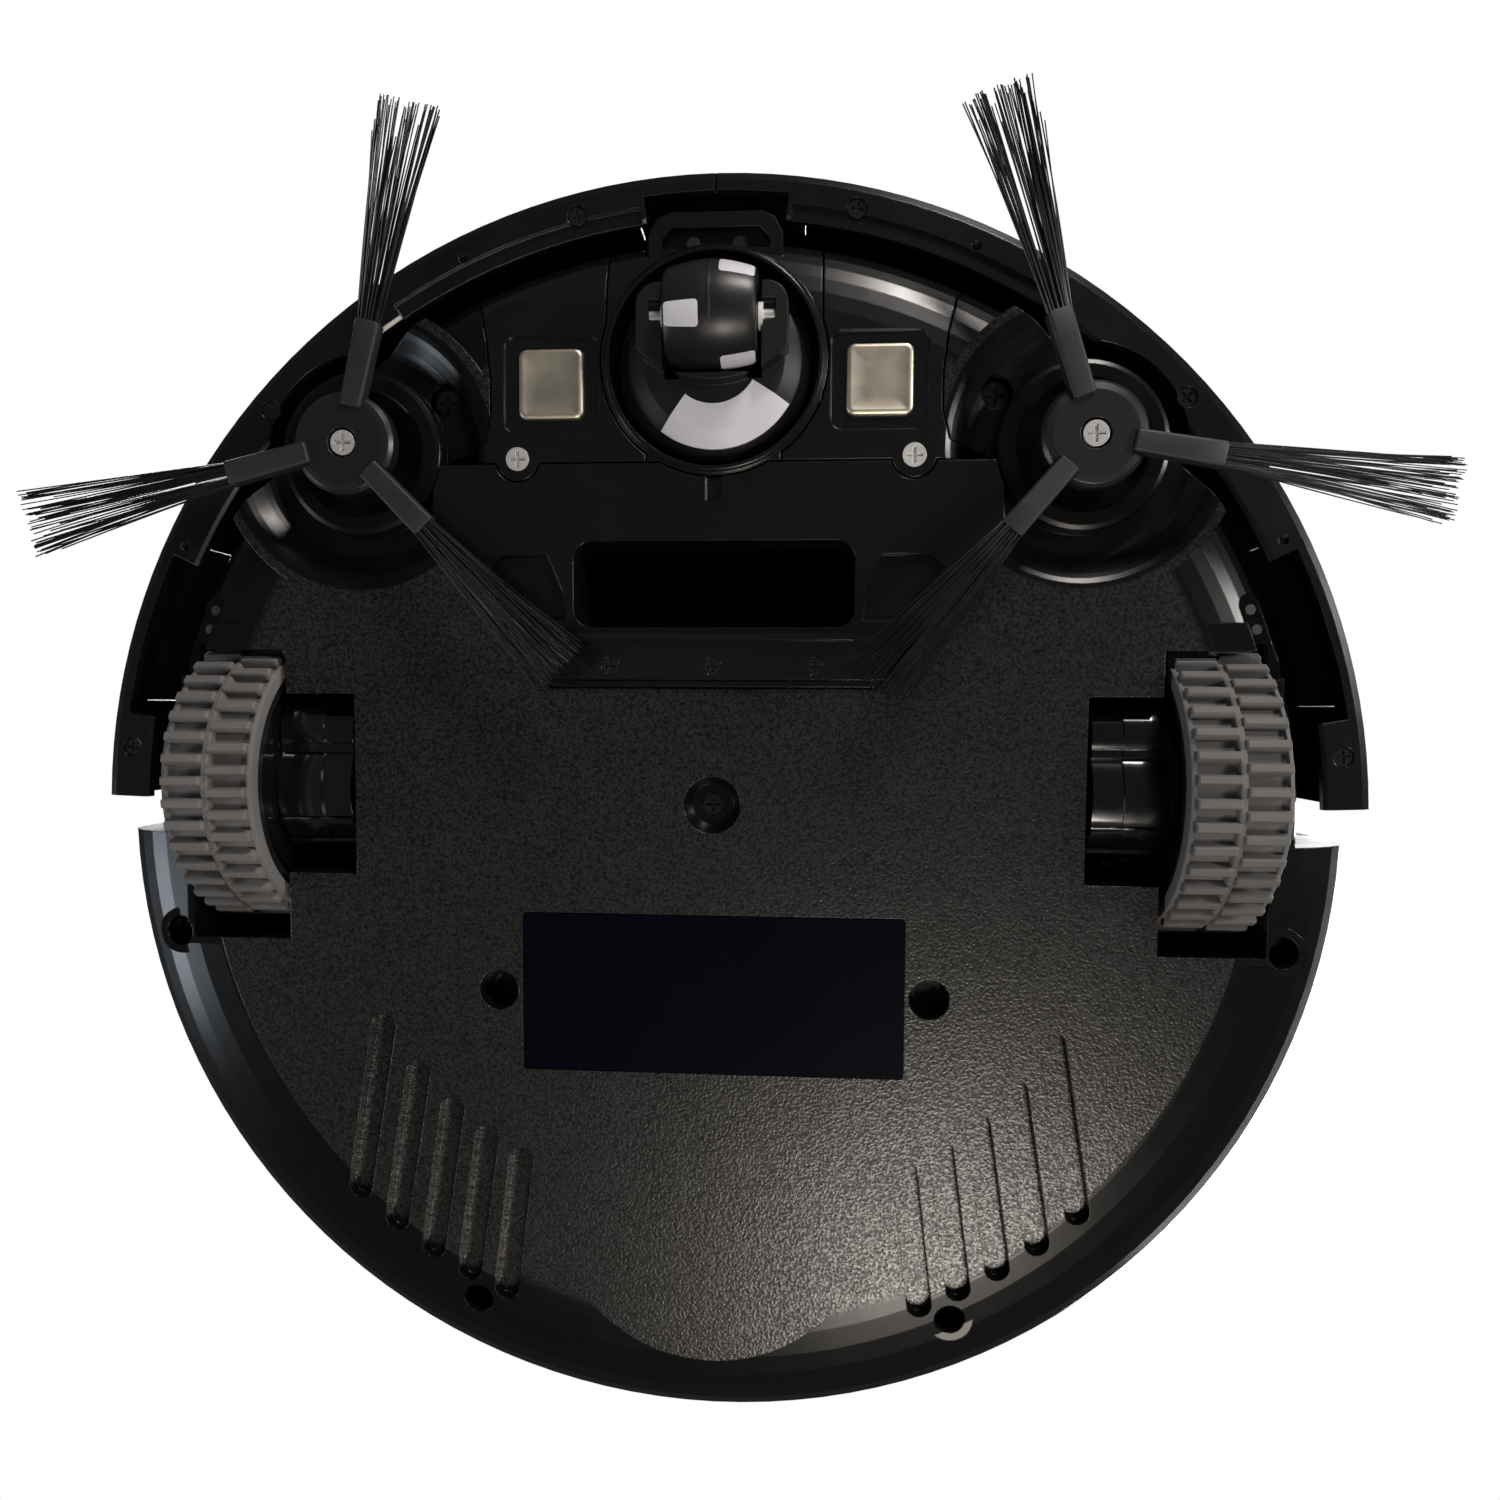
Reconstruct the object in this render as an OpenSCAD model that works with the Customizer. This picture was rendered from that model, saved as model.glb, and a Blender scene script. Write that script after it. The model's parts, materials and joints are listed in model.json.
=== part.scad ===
// Round robot vacuum cleaner, built as separate pieces in one shared frame.
// Millimetres, +Z up, the front faces +Y, the wheels stand on Z = 0.
// "right" is the +X side and "left" the -X side of the machine as it drives forward.

/* [Overall] */
// Radius of the body behind the bumper
body_r = 137; // [136:0.5:137.5]
// Radius of the outer face of the bumper
bumper_r = 140; // [139:0.5:142]
// Height of the top deck over the floor
deck_top = 79; // [78:0.5:82]
// Gap between the floor and the flat underside
floor_gap = 14; // [13:0.5:15]
// Thickness of the plastic shells
wall = 2.4; // [2:0.1:2.8]
// Height of the joint line between the chassis and the upper housing
seam_z = 38; // [37:0.5:39]
// Width of the gap along a seam between two covers
seam_gap = 0.4; // [0.2:0.1:0.6]

/* [Drive wheels] */
// Radius of the tyre over its lugs
tyre_r = 33; // [31:0.5:33.5]
// Width of the tyre
tyre_w = 20; // [18:0.5:20]
// Distance from the middle plane to the inner face of the tyre
tyre_x = 96.5; // [96.5:0.5:97]
// Position of the wheel axle ahead of the body's centre
axle_y = 8; // [7:0.5:9]
// Lugs in each of the two rows
lug_count = 42; // [24:1:48]
// Distance from the axle back to the suspension pivot
arm_len = 39; // [38:0.5:40]

/* [Side brushes] */
// Side brush spindle, distance from the middle plane
brush_x = 77.6; // [76:0.2:79]
// Side brush spindle, distance ahead of the body's centre
brush_y = 80.6; // [79:0.2:82]
// Radius of the bristle tips round the spindle
bristle_r = 68; // [60:1:70]
// Half width of a bristle tuft at its tip
tuft_half = 7; // [5:0.5:8]
// How far the leading tuft of the right brush leans inward, in degrees
lead_right = 15; // [10:1:20]
// How far the leading tuft of the left brush leans inward, in degrees
lead_left = 19; // [10:1:20]

/* [Caster] */
// Centre of the caster socket ahead of the body's centre
caster_y = 99; // [98:0.5:100]
// Inner radius of the caster socket
socket_r = 22.3; // [22:0.1:23]
// Radius of the caster wheel
caster_r = 11; // [10:0.5:11.5]
// Width of the caster wheel
caster_w = 19; // [17:0.5:19.5]
// Offset of the caster axle ahead of the swivel axis
caster_trail = 7.5; // [6:0.5:8]

/* [Bumper] */
// Travel of the bumper towards the body
bumper_travel = 3.5; // [2:0.5:3.5]
// Height of the bumper's lower flange over the floor
bumper_low = 17.4; // [16:0.2:19]
// Height of the bumper's top edge over the floor
bumper_top = 58.5; // [54:0.5:58.5]

/* [Dust bin] */
// Width of the dust bin
bin_w = 94; // [80:1:96]
// Height of the dust bin
bin_h = 28; // [24:0.5:28]

/* [Hidden] */
$fn = 64;

black = [0.045, 0.045, 0.048];
soft_black = [0.075, 0.075, 0.078];
dark_grey = [0.16, 0.16, 0.165];
tyre_grey = [0.36, 0.34, 0.335];
smoke = [0.10, 0.09, 0.11];
steel = [0.72, 0.72, 0.72];
nickel = [0.70, 0.66, 0.57];
white = [0.90, 0.89, 0.90];

// Radii of the underside: the flat ends at flat_r, then a curved bevel rises to the side wall.
flat_r = 110;
pad_r = 114.5;
bevel_h = 11;
front_r = 126;
front_flat_r = 108;
front_bevel_h = 8;
bevel_steps = 8;
// The wide rear shell starts behind this line; ahead of it the bumper wraps a narrower nose.
split_y = -3.5;
overlap = 0.5;
bumper_start = 1.9;
flange_r = front_r + bumper_travel + 0.5;
bumper_wall = 2.4;
window_low = 25.5;
window_high = 46;
shelf_z = bumper_top + 1;
// Height of the joint line between the upper housing and the deck.
deck_seam = 64;
// Gap at the joints between the shells of the housing.
shell_gap = 0.3;
// The covers at the nose end at this height, inside the chassis wall's cut-outs.
cover_top = 24.8;

// The reach of the front bristle tip sets where the body's centre sits in the frame.
tip_r = sqrt(bristle_r * bristle_r + tuft_half * tuft_half);
tip_lean = min(lead_left, lead_right) - atan(tuft_half / bristle_r);
front_reach = brush_y + tip_r * cos(tip_lean);
body_y = -(front_reach - body_r) / 2;

// Wheel wells and the motor bays beside them.
well_x0 = 95;
well_x1 = 117.6;
well_y0 = -27;
well_y1 = 37.7;
curb_y1 = 42;
// Headroom over the tyre when the suspension is pushed right in.
well_top = 75;
bay_x0 = 79.5;
bay_y0 = -12;
bay_y1 = 28;
curb_top = 24;
pivot_y = axle_y - arm_len;
pivot_z = 38;
pin_r = 3;
run_fit = 0.05;
core_r = 17;
// Rounded lobes along the gear case, as [y, z, radius].
case_lobes = [[19.6, 23.8, 7.6], [6.5, 30, 15.4]];
// Ribs along the gear case, as [back, front, underside].
case_ribs = [[15, 16.9, 16.3], [-1, 0, 15.3], [-5.6, -4.8, 18.9]];
case_x0 = 81.2;
case_x1 = 97.5;
case_seam = 87.7;

// Inlet and the covers at the front.
seam_y = 77.5;
blade_screw_x = 21.9;
blade_screw_y = 34.2;
// Near edge of the window at the nose that looks down at the floor.
window_y = 123.2;
inlet_half = 30.3;
inlet_y0 = 42.6;
inlet_y1 = 61;
blade_y0 = 29.8;
blade_y1 = 41.6;
contact_x = 35;
contact_y = 94.3;
contact_w = 14;
contact_l = 14.8;
frame_w = 20.4;
cover_screw_x = 42.4;
cover_screw_y = 78.6;
dish_r = 30;
dish_in = 21;
dish_depth = 5;
pod_r = 18;
pod_bore = 13.4;
hub_r = 10.7;
clamp_end = 25.3;
clamp_w = 4.9;

// Deep screw holes in the underside, as [x, y], repeated on both sides.
deep_screws = [[60, 92.7], [53, -109.3], [121.5, -26]];
mop_x = 47.3;
mop_y = -37.5;
mop_r = 4.4;
recess_y = 4.2;
recess_r = 6.2;
label_w = 83.6;
label_l = 35;
label_y = -37.6;

// Blind slots: their ends lie on two circles, at an even pitch.
slot_n = 5;
slot_w = 5.4;
slot_in_r = 84.5;
slot_out_r = 118.4;
slot_depth = 3.2;
slot_wall = 1.6;

// Bin, fan and battery inside.
bin_x = bin_w / 2;
bin_z = seam_z + 1.4;
bin_front_y = -10;
bay_gap = 0.6;
duct_z = 60;
fan_y = -62;
fan_z = 50;
fan_x = 54;
fan_r = 18;
motor_z = 41;
fillet_r = 12;
button_y = 62;
button_r = 11;
dome_y = 112;
panel_r = 95;
panel_z = 77.4;
switch_y = -44;
switch_z = 51;
// Where the side wall stands beside the rocker and the power socket.
side_x = sqrt(body_r * body_r - switch_y * switch_y);
rocker_x = side_x - 4.4;
rocker_tilt = 5;

bumper_screw_angles = [6.7, 42.5, 77.1];
bumper_pip_angles = [27, 65.8];
flange_line_r = 134.3;

// ---------- helpers ----------

// Places a piece drawn round the body's centre into the part's frame.
module placed() {
    translate([0, body_y, 0]) children();
}

// Draws a piece for the right side (+1) or mirrors it to the left side (-1).
module on_side(s) {
    if (s > 0) {
        children();
    } else {
        mirror([1, 0, 0]) children();
    }
}

module both_sides() {
    children();
    mirror([1, 0, 0]) children();
}

module rounded_rect(w, l, r) {
    union() {
        square([w - 2 * r, l], center = true);
        square([w, l - 2 * r], center = true);
        for (x = [-1, 1], y = [-1, 1])
            translate([x * (w / 2 - r), y * (l / 2 - r)]) circle(r = r, $fn = 32);
    }
}

module rounded_block(w, l, r, z0, z1) {
    translate([0, 0, z0]) linear_extrude(z1 - z0) rounded_rect(w, l, r);
}

module block(x0, x1, y0, y1, z0, z1) {
    translate([x0, y0, z0]) cube([x1 - x0, y1 - y0, z1 - z0]);
}

module rod_x(r, x0, x1) {
    translate([x0, 0, 0]) rotate([0, 90, 0]) cylinder(r = r, h = x1 - x0);
}

module tube(r1, r0, z0, z1) {
    sides = r1 > 40 ? 180 : 64;
    translate([0, 0, z0])
        difference() {
            cylinder(r = r1, h = z1 - z0, $fn = sides);
            translate([0, 0, -1]) cylinder(r = r0, h = z1 - z0 + 2, $fn = sides);
        }
}

// A stadium-shaped prism between two points.
module capsule(a, b, w, z0, z1) {
    d = b - a;
    translate([a[0], a[1], z0])
        rotate([0, 0, atan2(d[1], d[0])]) {
            cylinder(d = w, h = z1 - z0, $fn = 32);
            translate([0, -w / 2, 0]) cube([norm(d), w, z1 - z0]);
            translate([norm(d), 0, 0]) cylinder(d = w, h = z1 - z0, $fn = 32);
        }
}

// The curved bevel from the flat underside out to the side wall.
function bevel(r0, r1, h, z0) = [
    for (i = [0 : bevel_steps])
        let (t = 90 * i / bevel_steps) [r0 + (r1 - r0) * sin(t), z0 + h * (1 - cos(t))]
];

// Half sections, from the axis out: the solid inside the outer surface, and the cavity in it.
function outer_section(r, flat, h, top) = concat(
    [[0, floor_gap]], bevel(flat, r, h, floor_gap), [[r, top], [0, top]]
);

function cavity_section(r, flat, h, top) = concat(
    [[0, floor_gap + wall]],
    bevel(flat - 1, r - wall, h, floor_gap + wall),
    [[r - wall, top + 1], [0, top + 1]]
);

module revolved(points) {
    rotate_extrude($fn = 180) polygon(points);
}

// The part of a shape ahead of, or behind, a line across the body.
module ahead_of(y) {
    intersection() {
        children();
        block(-200, 200, y, 200, -10, 200);
    }
}

module behind(y) {
    intersection() {
        children();
        block(-200, 200, -200, y, -10, 200);
    }
}

module pan_head(r, h, z) {
    translate([0, 0, z])
        difference() {
            cylinder(r = r, h = h);
            for (a = [0, 90])
                rotate([0, 0, a]) translate([-r * 0.7, -r * 0.14, -0.1]) cube([r * 1.4, r * 0.28, h * 0.55]);
        }
}

// ---------- chassis and covers ----------

module front_skin(top = seam_z) {
    ahead_of(split_y - overlap)
        difference() {
            revolved(outer_section(front_r, front_flat_r, front_bevel_h, top));
            revolved(cavity_section(front_r, front_flat_r, front_bevel_h, top));
        }
}

// Flat pads that reach out over the rear bevel: one under each row of slots, and the round tail.
module rear_pads() {
    difference() {
        translate([0, 0, floor_gap]) cylinder(r = pad_r, h = 4, $fn = 180);
        block(-44.5, 44.5, -150, -98, 0, 40);
    }
    translate([0, -85, floor_gap]) cylinder(r = 35.7, h = 4, $fn = 128);
}

module chassis_shell() {
    difference() {
        union() {
            ahead_of(split_y - overlap) revolved(outer_section(front_r, front_flat_r, front_bevel_h, seam_z));
            behind(split_y) {
                revolved(outer_section(body_r, flat_r, bevel_h, seam_z));
                rear_pads();
            }
        }
        ahead_of(split_y - 2 * wall) revolved(cavity_section(front_r, front_flat_r, front_bevel_h, seam_z));
        behind(split_y - wall) revolved(cavity_section(body_r, pad_r, bevel_h, seam_z));
    }
}

module at_brush() {
    translate([brush_x, brush_y, 0]) children();
}

// The hollow that each side brush sweeps in: a smooth dish in the underside.
module dish_cut() {
    steps = 8;
    at_brush() translate([0, 0, floor_gap - 1]) rotate_extrude($fn = 96)
        polygon(concat(
            [[0, 0], [dish_r, 0], [dish_r, 1]],
            [for (i = [1 : steps])
                let (t = i / steps)
                [dish_r - (dish_r - dish_in) * t, 1 + dish_depth * (0.5 - 0.5 * cos(180 * t))]],
            [[0, 1 + dish_depth]]
        ));
}

// Raised ring round the spindle, with the recess that the hub turns in.
module brush_pod() {
    at_brush() difference() {
        translate([0, 0, floor_gap + 1]) rotate_extrude($fn = 96)
            polygon([[0, 7.5], [0, 0.4], [pod_bore, 0.4], [pod_bore + 0.6, 0], [pod_r - 1.4, 0],
                [pod_r - 0.4, 0.4], [pod_r, 1.4], [pod_r, 7.5]]);
        translate([0, 0, floor_gap - 1]) cylinder(r = pod_bore, h = 6);
        cylinder(r = 4, h = 40);
    }
}

// T-shaped opening for a wheel and its gear case.
module wells_2d(front = well_y1) {
    translate([well_x0, well_y0]) square([well_x1 - well_x0, front - well_y0]);
    translate([bay_x0, bay_y0]) square([well_x0 - bay_x0 + 1, bay_y1 - bay_y0]);
}

module well_curbs() {
    translate([0, 0, floor_gap + 0.2]) linear_extrude(curb_top - floor_gap)
        intersection() {
            union() {
                translate([well_x0 - 1.6, well_y0 - 1.6])
                    square([well_x1 - well_x0 + 3.2, curb_y1 - well_y0 + 3.2]);
                translate([bay_x0 - 1.6, bay_y0 - 1.6])
                    square([well_x0 - bay_x0 + 1.6, bay_y1 - bay_y0 + 3.2]);
            }
            circle(r = front_r - 1, $fn = 180);
        }
}

// Outline of the cover round the suction inlet.
module inlet_outline(g = 0) {
    right = [[35 + g, blade_y0 - g], [44 + g, 41 - g], [50.4 + g, 53 - g], [61.4 + g, 60.5 - g],
        [61 + g, seam_y + g]];
    left = [for (i = [4 : -1 : 0]) [-right[i][0], right[i][1]]];
    polygon(concat(right, left));
}

// Outline of the right front cover, between the caster bezel and the brush dish.
module cover_outline(g = 0) {
    difference() {
        union() {
            polygon([
                [14.6 - g, seam_y - g + seam_gap], [60.4 + g, seam_y - g + seam_gap], [57 + g, 79.6 + g],
                [49.6 + g, 82], [48 + g, 88], [48 + g, 96], [49 + g, 104], [51 + g, 112], [57 + g, 120],
                [57 + g, 140], [14.6 - g, 140]
            ]);
            translate([cover_screw_x, cover_screw_y]) circle(r = 4.6 + g, $fn = 48);
        }
        if (g == 0) {
            translate([0, 90]) square([22.8 + seam_gap, 60]);
        } else {
            translate([0, 90]) square([22.8 + seam_gap - g, 60]);
        }
        translate([0, caster_y]) circle(r = socket_r + 1.8 + seam_gap - g, $fn = 128);
    }
}

module bezel_outline(g = 0) {
    union() {
        translate([-22.8 - g, 90 - g]) square([45.6 + 2 * g, 50 + g]);
        translate([0, caster_y]) circle(r = socket_r + 1.8 + g, $fn = 128);
        translate([-14.2 - g, seam_y + seam_gap - g]) square([28.4 + 2 * g, 8]);
    }
}

module slots(grow, z0, z1) {
    for (i = [0 : slot_n - 1]) {
        xa = 42.6 + 7.8 * i;
        xb = 46.2 + 8.4 * i;
        capsule([xa, -sqrt(pow(slot_in_r + slot_w / 2, 2) - xa * xa)],
            [xb, -sqrt(pow(slot_out_r - slot_w / 2, 2) - xb * xb)], slot_w + grow, z0, z1);
    }
}

module screw_bosses() {
    both_sides() {
        for (p = deep_screws) translate([p[0], p[1], floor_gap + 1.6]) cylinder(r = 5.2, h = 14);
        translate([mop_x, mop_y, floor_gap + 1]) cylinder(r = 6.6, h = 8);
    }
    translate([0, recess_y, floor_gap + 1]) cylinder(r = 8.4, h = 7);
}

module screw_holes() {
    both_sides() {
        for (p = deep_screws) {
            translate([p[0], p[1], 0]) cylinder(r = 3.4, h = floor_gap + 9);
            translate([p[0], p[1], 0]) cylinder(r = 1.3, h = floor_gap + 13);
        }
        translate([mop_x, mop_y, 0]) cylinder(r = mop_r, h = floor_gap + 6);
        translate([mop_x, mop_y, 0]) cylinder(r = 2.4, h = floor_gap + 7.6);
    }
    // The wide shallow cone in the middle of the underside, with its screw seat.
    translate([0, recess_y, floor_gap - 0.01]) cylinder(r1 = recess_r, r2 = recess_r - 1.6, h = 3);
    translate([0, recess_y, floor_gap]) cylinder(r = 2.3, h = 4.6);
}

module suspension_ears() {
    for (x = [80, 95.6])
        difference() {
            block(x, x + 3, pivot_y - 5, pivot_y + 4, floor_gap + 1, pivot_z + 5);
            translate([0, pivot_y, pivot_z]) rod_x(pin_r, x - 1, x + 4);
        }
}

module bottom_chassis() {
    color(black) placed() {
        difference() {
            union() {
                chassis_shell();
                intersection() {
                    both_sides() at_brush() translate([0, 0, floor_gap])
                        cylinder(r = dish_r + 2, h = dish_depth + 3.4);
                    cylinder(r = front_r - 0.6, h = 60, $fn = 180);
                }
                both_sides() {
                    well_curbs();
                    slots(2 * slot_wall, floor_gap + 2, floor_gap + slot_depth + 1.8);
                }
                screw_bosses();
            }
            both_sides() {
                dish_cut();
                translate([0, 0, -1]) linear_extrude(seam_z + 30) wells_2d();
                translate([0, 0, floor_gap + wall]) linear_extrude(seam_z) wells_2d(curb_y1);
                at_brush() cylinder(r = pod_bore - 1, h = 60);
                translate([0, 0, 0]) linear_extrude(floor_gap + 12) cover_outline(seam_gap);
                slots(0, floor_gap - 1, floor_gap + slot_depth);
                at_side_window() rounded_block(19, 5.4, 2.4, 0, floor_gap + 6.4);
            }
            translate([0, 0, -1]) linear_extrude(floor_gap + 12) inlet_outline(seam_gap);
            translate([0, 0, -1]) linear_extrude(floor_gap + 12) bezel_outline(seam_gap);
            screw_holes();
            translate([0, label_y, 0]) rounded_block(label_w + 0.3, label_l + 0.3, 0.8, 0, floor_gap + 0.3);
        }
        difference() {
            both_sides() brush_pod();
            screw_holes();
        }
        both_sides() suspension_ears();
    }
}

// Front edge of the skin, one of the three covers that close the nose.
module skin_piece() {
    intersection() {
        front_skin(cover_top);
        children();
    }
}

module front_cover(s) {
    color(black) placed() on_side(s)
        difference() {
            skin_piece() linear_extrude(60) cover_outline();
            dish_cut();
            translate([contact_x, contact_y, 0]) rounded_block(frame_w, frame_w, 2.4, 0, floor_gap + 0.6);
            translate([contact_x, contact_y, 0]) rounded_block(contact_w, contact_l, 1.6, 0, 60);
            translate([cover_screw_x, cover_screw_y, 0]) cylinder(r = 2.6, h = floor_gap + 1.2);
            translate([cover_screw_x, cover_screw_y, 0]) cylinder(r = 1.25, h = 60);
            translate([60, 92.7, 0]) cylinder(r = 5.6, h = 60);
        }
}

module caster_socket() {
    color(black) placed()
        difference() {
            union() {
                difference() {
                    union() {
                        skin_piece() linear_extrude(60) bezel_outline();
                        translate([0, 0, floor_gap + 3]) linear_extrude(cover_top - floor_gap - 3) bay_2d();
                    }
                    translate([0, caster_y, 0]) cylinder(r = socket_r + 0.9, h = 60, $fn = 128);
                }
                translate([0, caster_y, 0]) rotate_extrude($fn = 128)
                    polygon([[socket_r, floor_gap - 0.6], [socket_r + 0.8, floor_gap - 0.6],
                        [socket_r + 1.7, floor_gap + 0.4], [socket_r + 1.7, 32], [8, 32], [8, 39],
                        [4 + run_fit, 39], [4 + run_fit, 29.6], [socket_r, 29.6]]);
            }
            linear_extrude(floor_gap + 9) window_2d(0);
        }
}

// Sensor bay that reaches forward under the bumper from the nose.
module bay_2d() {
    half = [[14.4, 118], [14.4, 126.2], [12.6, 129.6], [9.8, 130.8]];
    polygon(concat(half, [for (i = [3 : -1 : 0]) [-half[i][0], half[i][1]]]));
}

module window_2d(inset) {
    half = [[11.6 - inset, window_y + inset], [11.6 - inset, window_y + 2],
        [9.4 - inset, window_y + 4.4 - inset]];
    polygon(concat(half, [for (i = [2 : -1 : 0]) [-half[i][0], half[i][1]]]));
}

module front_cliff_window() {
    color(smoke) placed() translate([0, 0, floor_gap + 4.4]) linear_extrude(1) window_2d(0.1);
}

module at_side_window() {
    rotate([0, 0, 19.5]) translate([122.4, 0, 0]) rotate([0, 0, 90]) children();
}

module side_cliff_windows() {
    color(smoke) placed() both_sides()
        difference() {
            at_side_window() rounded_block(18.8, 5.2, 2.3, floor_gap + 4.6, floor_gap + 6);
            linear_extrude(60) wells_2d(well_y1 + 1.6);
        }
}

// Pairs of small emitters and receivers behind the windows that look down at the floor.
module cliff_sensors() {
    color(white) placed() {
        for (x = [-5, 5]) translate([x, window_y + 2.1, floor_gap + 5.6]) {
            cylinder(r = 1.5, h = 2.4);
            translate([0, 0, 2.3]) cylinder(r = 1.8, h = 0.8);
        }
        both_sides() at_side_window() for (t = [1.5, 6])
            translate([t, -1.1, floor_gap + 6.1]) cylinder(r = 1.1, h = 0.25);
    }
}

module inlet_cover() {
    color(black) placed()
        difference() {
            union() {
                translate([0, 0, floor_gap]) linear_extrude(wall) inlet_outline();
                translate([0, 0, floor_gap + 1]) linear_extrude(12) inlet_opening(1.8);
            }
            translate([0, 0, 0]) linear_extrude(60) inlet_opening(0);
            // Sloped pockets that lead dirt in from both sides.
            both_sides() translate([0, 0, floor_gap - 0.01]) linear_extrude(1.3)
                polygon([[32, 44], [41, 44], [49, 55.5], [46, 58], [36, 58], [32.6, 50]]);
            // Slot that the fingers use to lift the cover.
            block(-1.6, 1.6, 69.6, 76.6, floor_gap - 1, floor_gap + 1);
            both_sides() translate([cover_screw_x, cover_screw_y, 0]) cylinder(r = 4.6 + seam_gap, h = 60);
            translate([0, caster_y, 0]) cylinder(r = socket_r + 1.8 + seam_gap, h = 60);
            both_sides() at_brush() cylinder(r = pod_r + seam_gap, h = 60);
            block(-42.4, 42.4, blade_y0 + 1.4, blade_y1 - 0.2, floor_gap - 1, floor_gap + 0.8);
            at_blade_screws() cylinder(r = 0.95, h = 60);
        }
}

module inlet_opening(g) {
    translate([0, (inlet_y0 + inlet_y1) / 2])
        rounded_rect(2 * inlet_half + 2 * g, inlet_y1 - inlet_y0 + 2 * g, 4);
}

module inlet_blade() {
    color(soft_black) placed()
        difference() {
            union() {
                translate([0, 0, floor_gap - 1.6]) linear_extrude(2.4)
                    polygon([[36.6, blade_y0 + 1.5], [42.2, blade_y1 - 1.6], [41.2, blade_y1 - 0.3],
                        [-41.2, blade_y1 - 0.3], [-42.2, blade_y1 - 1.6], [-36.6, blade_y0 + 1.5]]);
                block(-30, 30, blade_y1 - 1.9, blade_y1 - 0.4, floor_gap - 3.4, floor_gap);
            }
            at_blade_screws() {
                cylinder(r = 1.9, h = floor_gap - 0.6);
                cylinder(r = 0.95, h = 60);
            }
        }
}

module at_blade_screws() {
    for (x = [-blade_screw_x, 0, blade_screw_x]) translate([x, blade_screw_y, 0]) children();
}

module cover_screws() {
    color(steel) placed() both_sides() translate([cover_screw_x, cover_screw_y, 0]) {
        pan_head(2.5, 1.3, floor_gap - 0.2);
        translate([0, 0, floor_gap + 1.1]) cylinder(r = 1.2, h = 6);
    }
}

// Small dark screws: in the deep holes, in the middle recess and along the blade.
module chassis_screws() {
    color(dark_grey) placed() {
        at_blade_screws() {
            pan_head(1.85, 0.9, floor_gap - 1.5);
            translate([0, 0, floor_gap - 0.7]) cylinder(r = 0.9, h = 2.6);
        }
        both_sides() for (p = deep_screws) translate([p[0], p[1], 0]) {
            pan_head(2.9, 1.8, floor_gap + 7.2);
            translate([0, 0, floor_gap + 8.9]) cylinder(r = 1.25, h = 3.9);
        }
        translate([0, recess_y, 0]) pan_head(2.2, 1.4, floor_gap + 3.1);
    }
}

module contact_plates() {
    color(nickel) placed() both_sides() translate([contact_x, contact_y, 0])
        rounded_block(contact_w - 0.1, contact_l - 0.1, 1.55, floor_gap - 0.5, floor_gap + 3);
}

module label_plate() {
    color([0.03, 0.03, 0.05]) placed() translate([0, label_y, 0])
        rounded_block(label_w, label_l, 0.7, floor_gap - 0.1, floor_gap + 0.3);
}

// ---------- upper housing ----------

// The rounded shoulder between the side wall and the deck.
function shoulder(r, z, f) = [
    for (i = [0 : bevel_steps])
        let (t = 90 * i / bevel_steps) [r - f + f * cos(t), z - f + f * sin(t)]
];

// Shelf that overhangs the bumper: in front, everything under it steps in to the nose.
module upper_shell() {
    difference() {
        revolved(concat(
            [[0, seam_z + 0.2], [body_r, seam_z + 0.2]],
            shoulder(body_r, deck_top, fillet_r),
            [[0, deck_top]]
        ));
        translate([0, 0, panel_z]) cylinder(r = panel_r + 0.5, h = 10, $fn = 180);
        difference() {
            block(-200, 200, split_y, 200, 0, shelf_z);
            cylinder(r = front_r, h = 100, $fn = 180);
        }
        // Cavity: one height under the panel's recess, one under the deck, and narrower in the nose.
        cylinder(r = front_r - wall, h = panel_z - wall, $fn = 180);
        difference() {
            translate([0, 0, shelf_z + wall])
                revolved(concat([[0, 0], [body_r - wall, 0]],
                    shoulder(body_r - wall, deck_top - shelf_z - 2 * wall, fillet_r - wall + 1.4),
                    [[0, deck_top - shelf_z - 2 * wall]]));
            translate([0, 0, panel_z - wall]) cylinder(r = panel_r + 2, h = 20, $fn = 180);
        }
        behind(split_y - wall) cylinder(r = body_r - wall, h = shelf_z + wall + 1, $fn = 180);
    }
}

// Two ears inside the side wall that hold the rocker's pin.
module rocker_ears() {
    for (z = [switch_z - 5.7, switch_z + 4.2])
        block(rocker_x - 3, side_x - 1.6, switch_y - 3, switch_y + 3, z, z + 1.5);
}

// The whole upper shell; the housing and the deck are its lower and upper parts.
module housing_shape() {
    difference() {
        union() {
            upper_shell();
            rocker_ears();
        }
        both_sides() block(well_x0, well_x1, well_y0, curb_y1, 0, well_top);
        translate([rocker_x, switch_y, 0]) cylinder(r = 1.2 + run_fit, h = 60);
        // Mouth of the dust bin bay in the rear wall.
        block(-bin_x - 0.7, bin_x + 0.7, -150, -100, seam_z - 1, bin_z + bin_h + 0.7);
        // Exhaust grille behind the fan.
        for (i = [-3 : 3])
            rotate([0, 0, -58 + 3 * i]) block(120, 145, -1.1, 1.1, 46, 62);
        // Rocker opening on the right and socket opening on the left.
        block(rocker_x - 8, 140, switch_y - 7.5, switch_y + 7.5, switch_z - 4.1, switch_z + 4.1);
        translate([-140, switch_y, switch_z]) rotate([0, 90, 0]) cylinder(r = 6.1, h = 25);
        translate([0, button_y, 60]) cylinder(r = button_r + 3.4, h = 30);
        translate([0, dome_y, 60]) cylinder(r = 7.1, h = 30);
        both_sides() at_switch() rod_x(1.7, 0, 20);
    }
}

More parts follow.
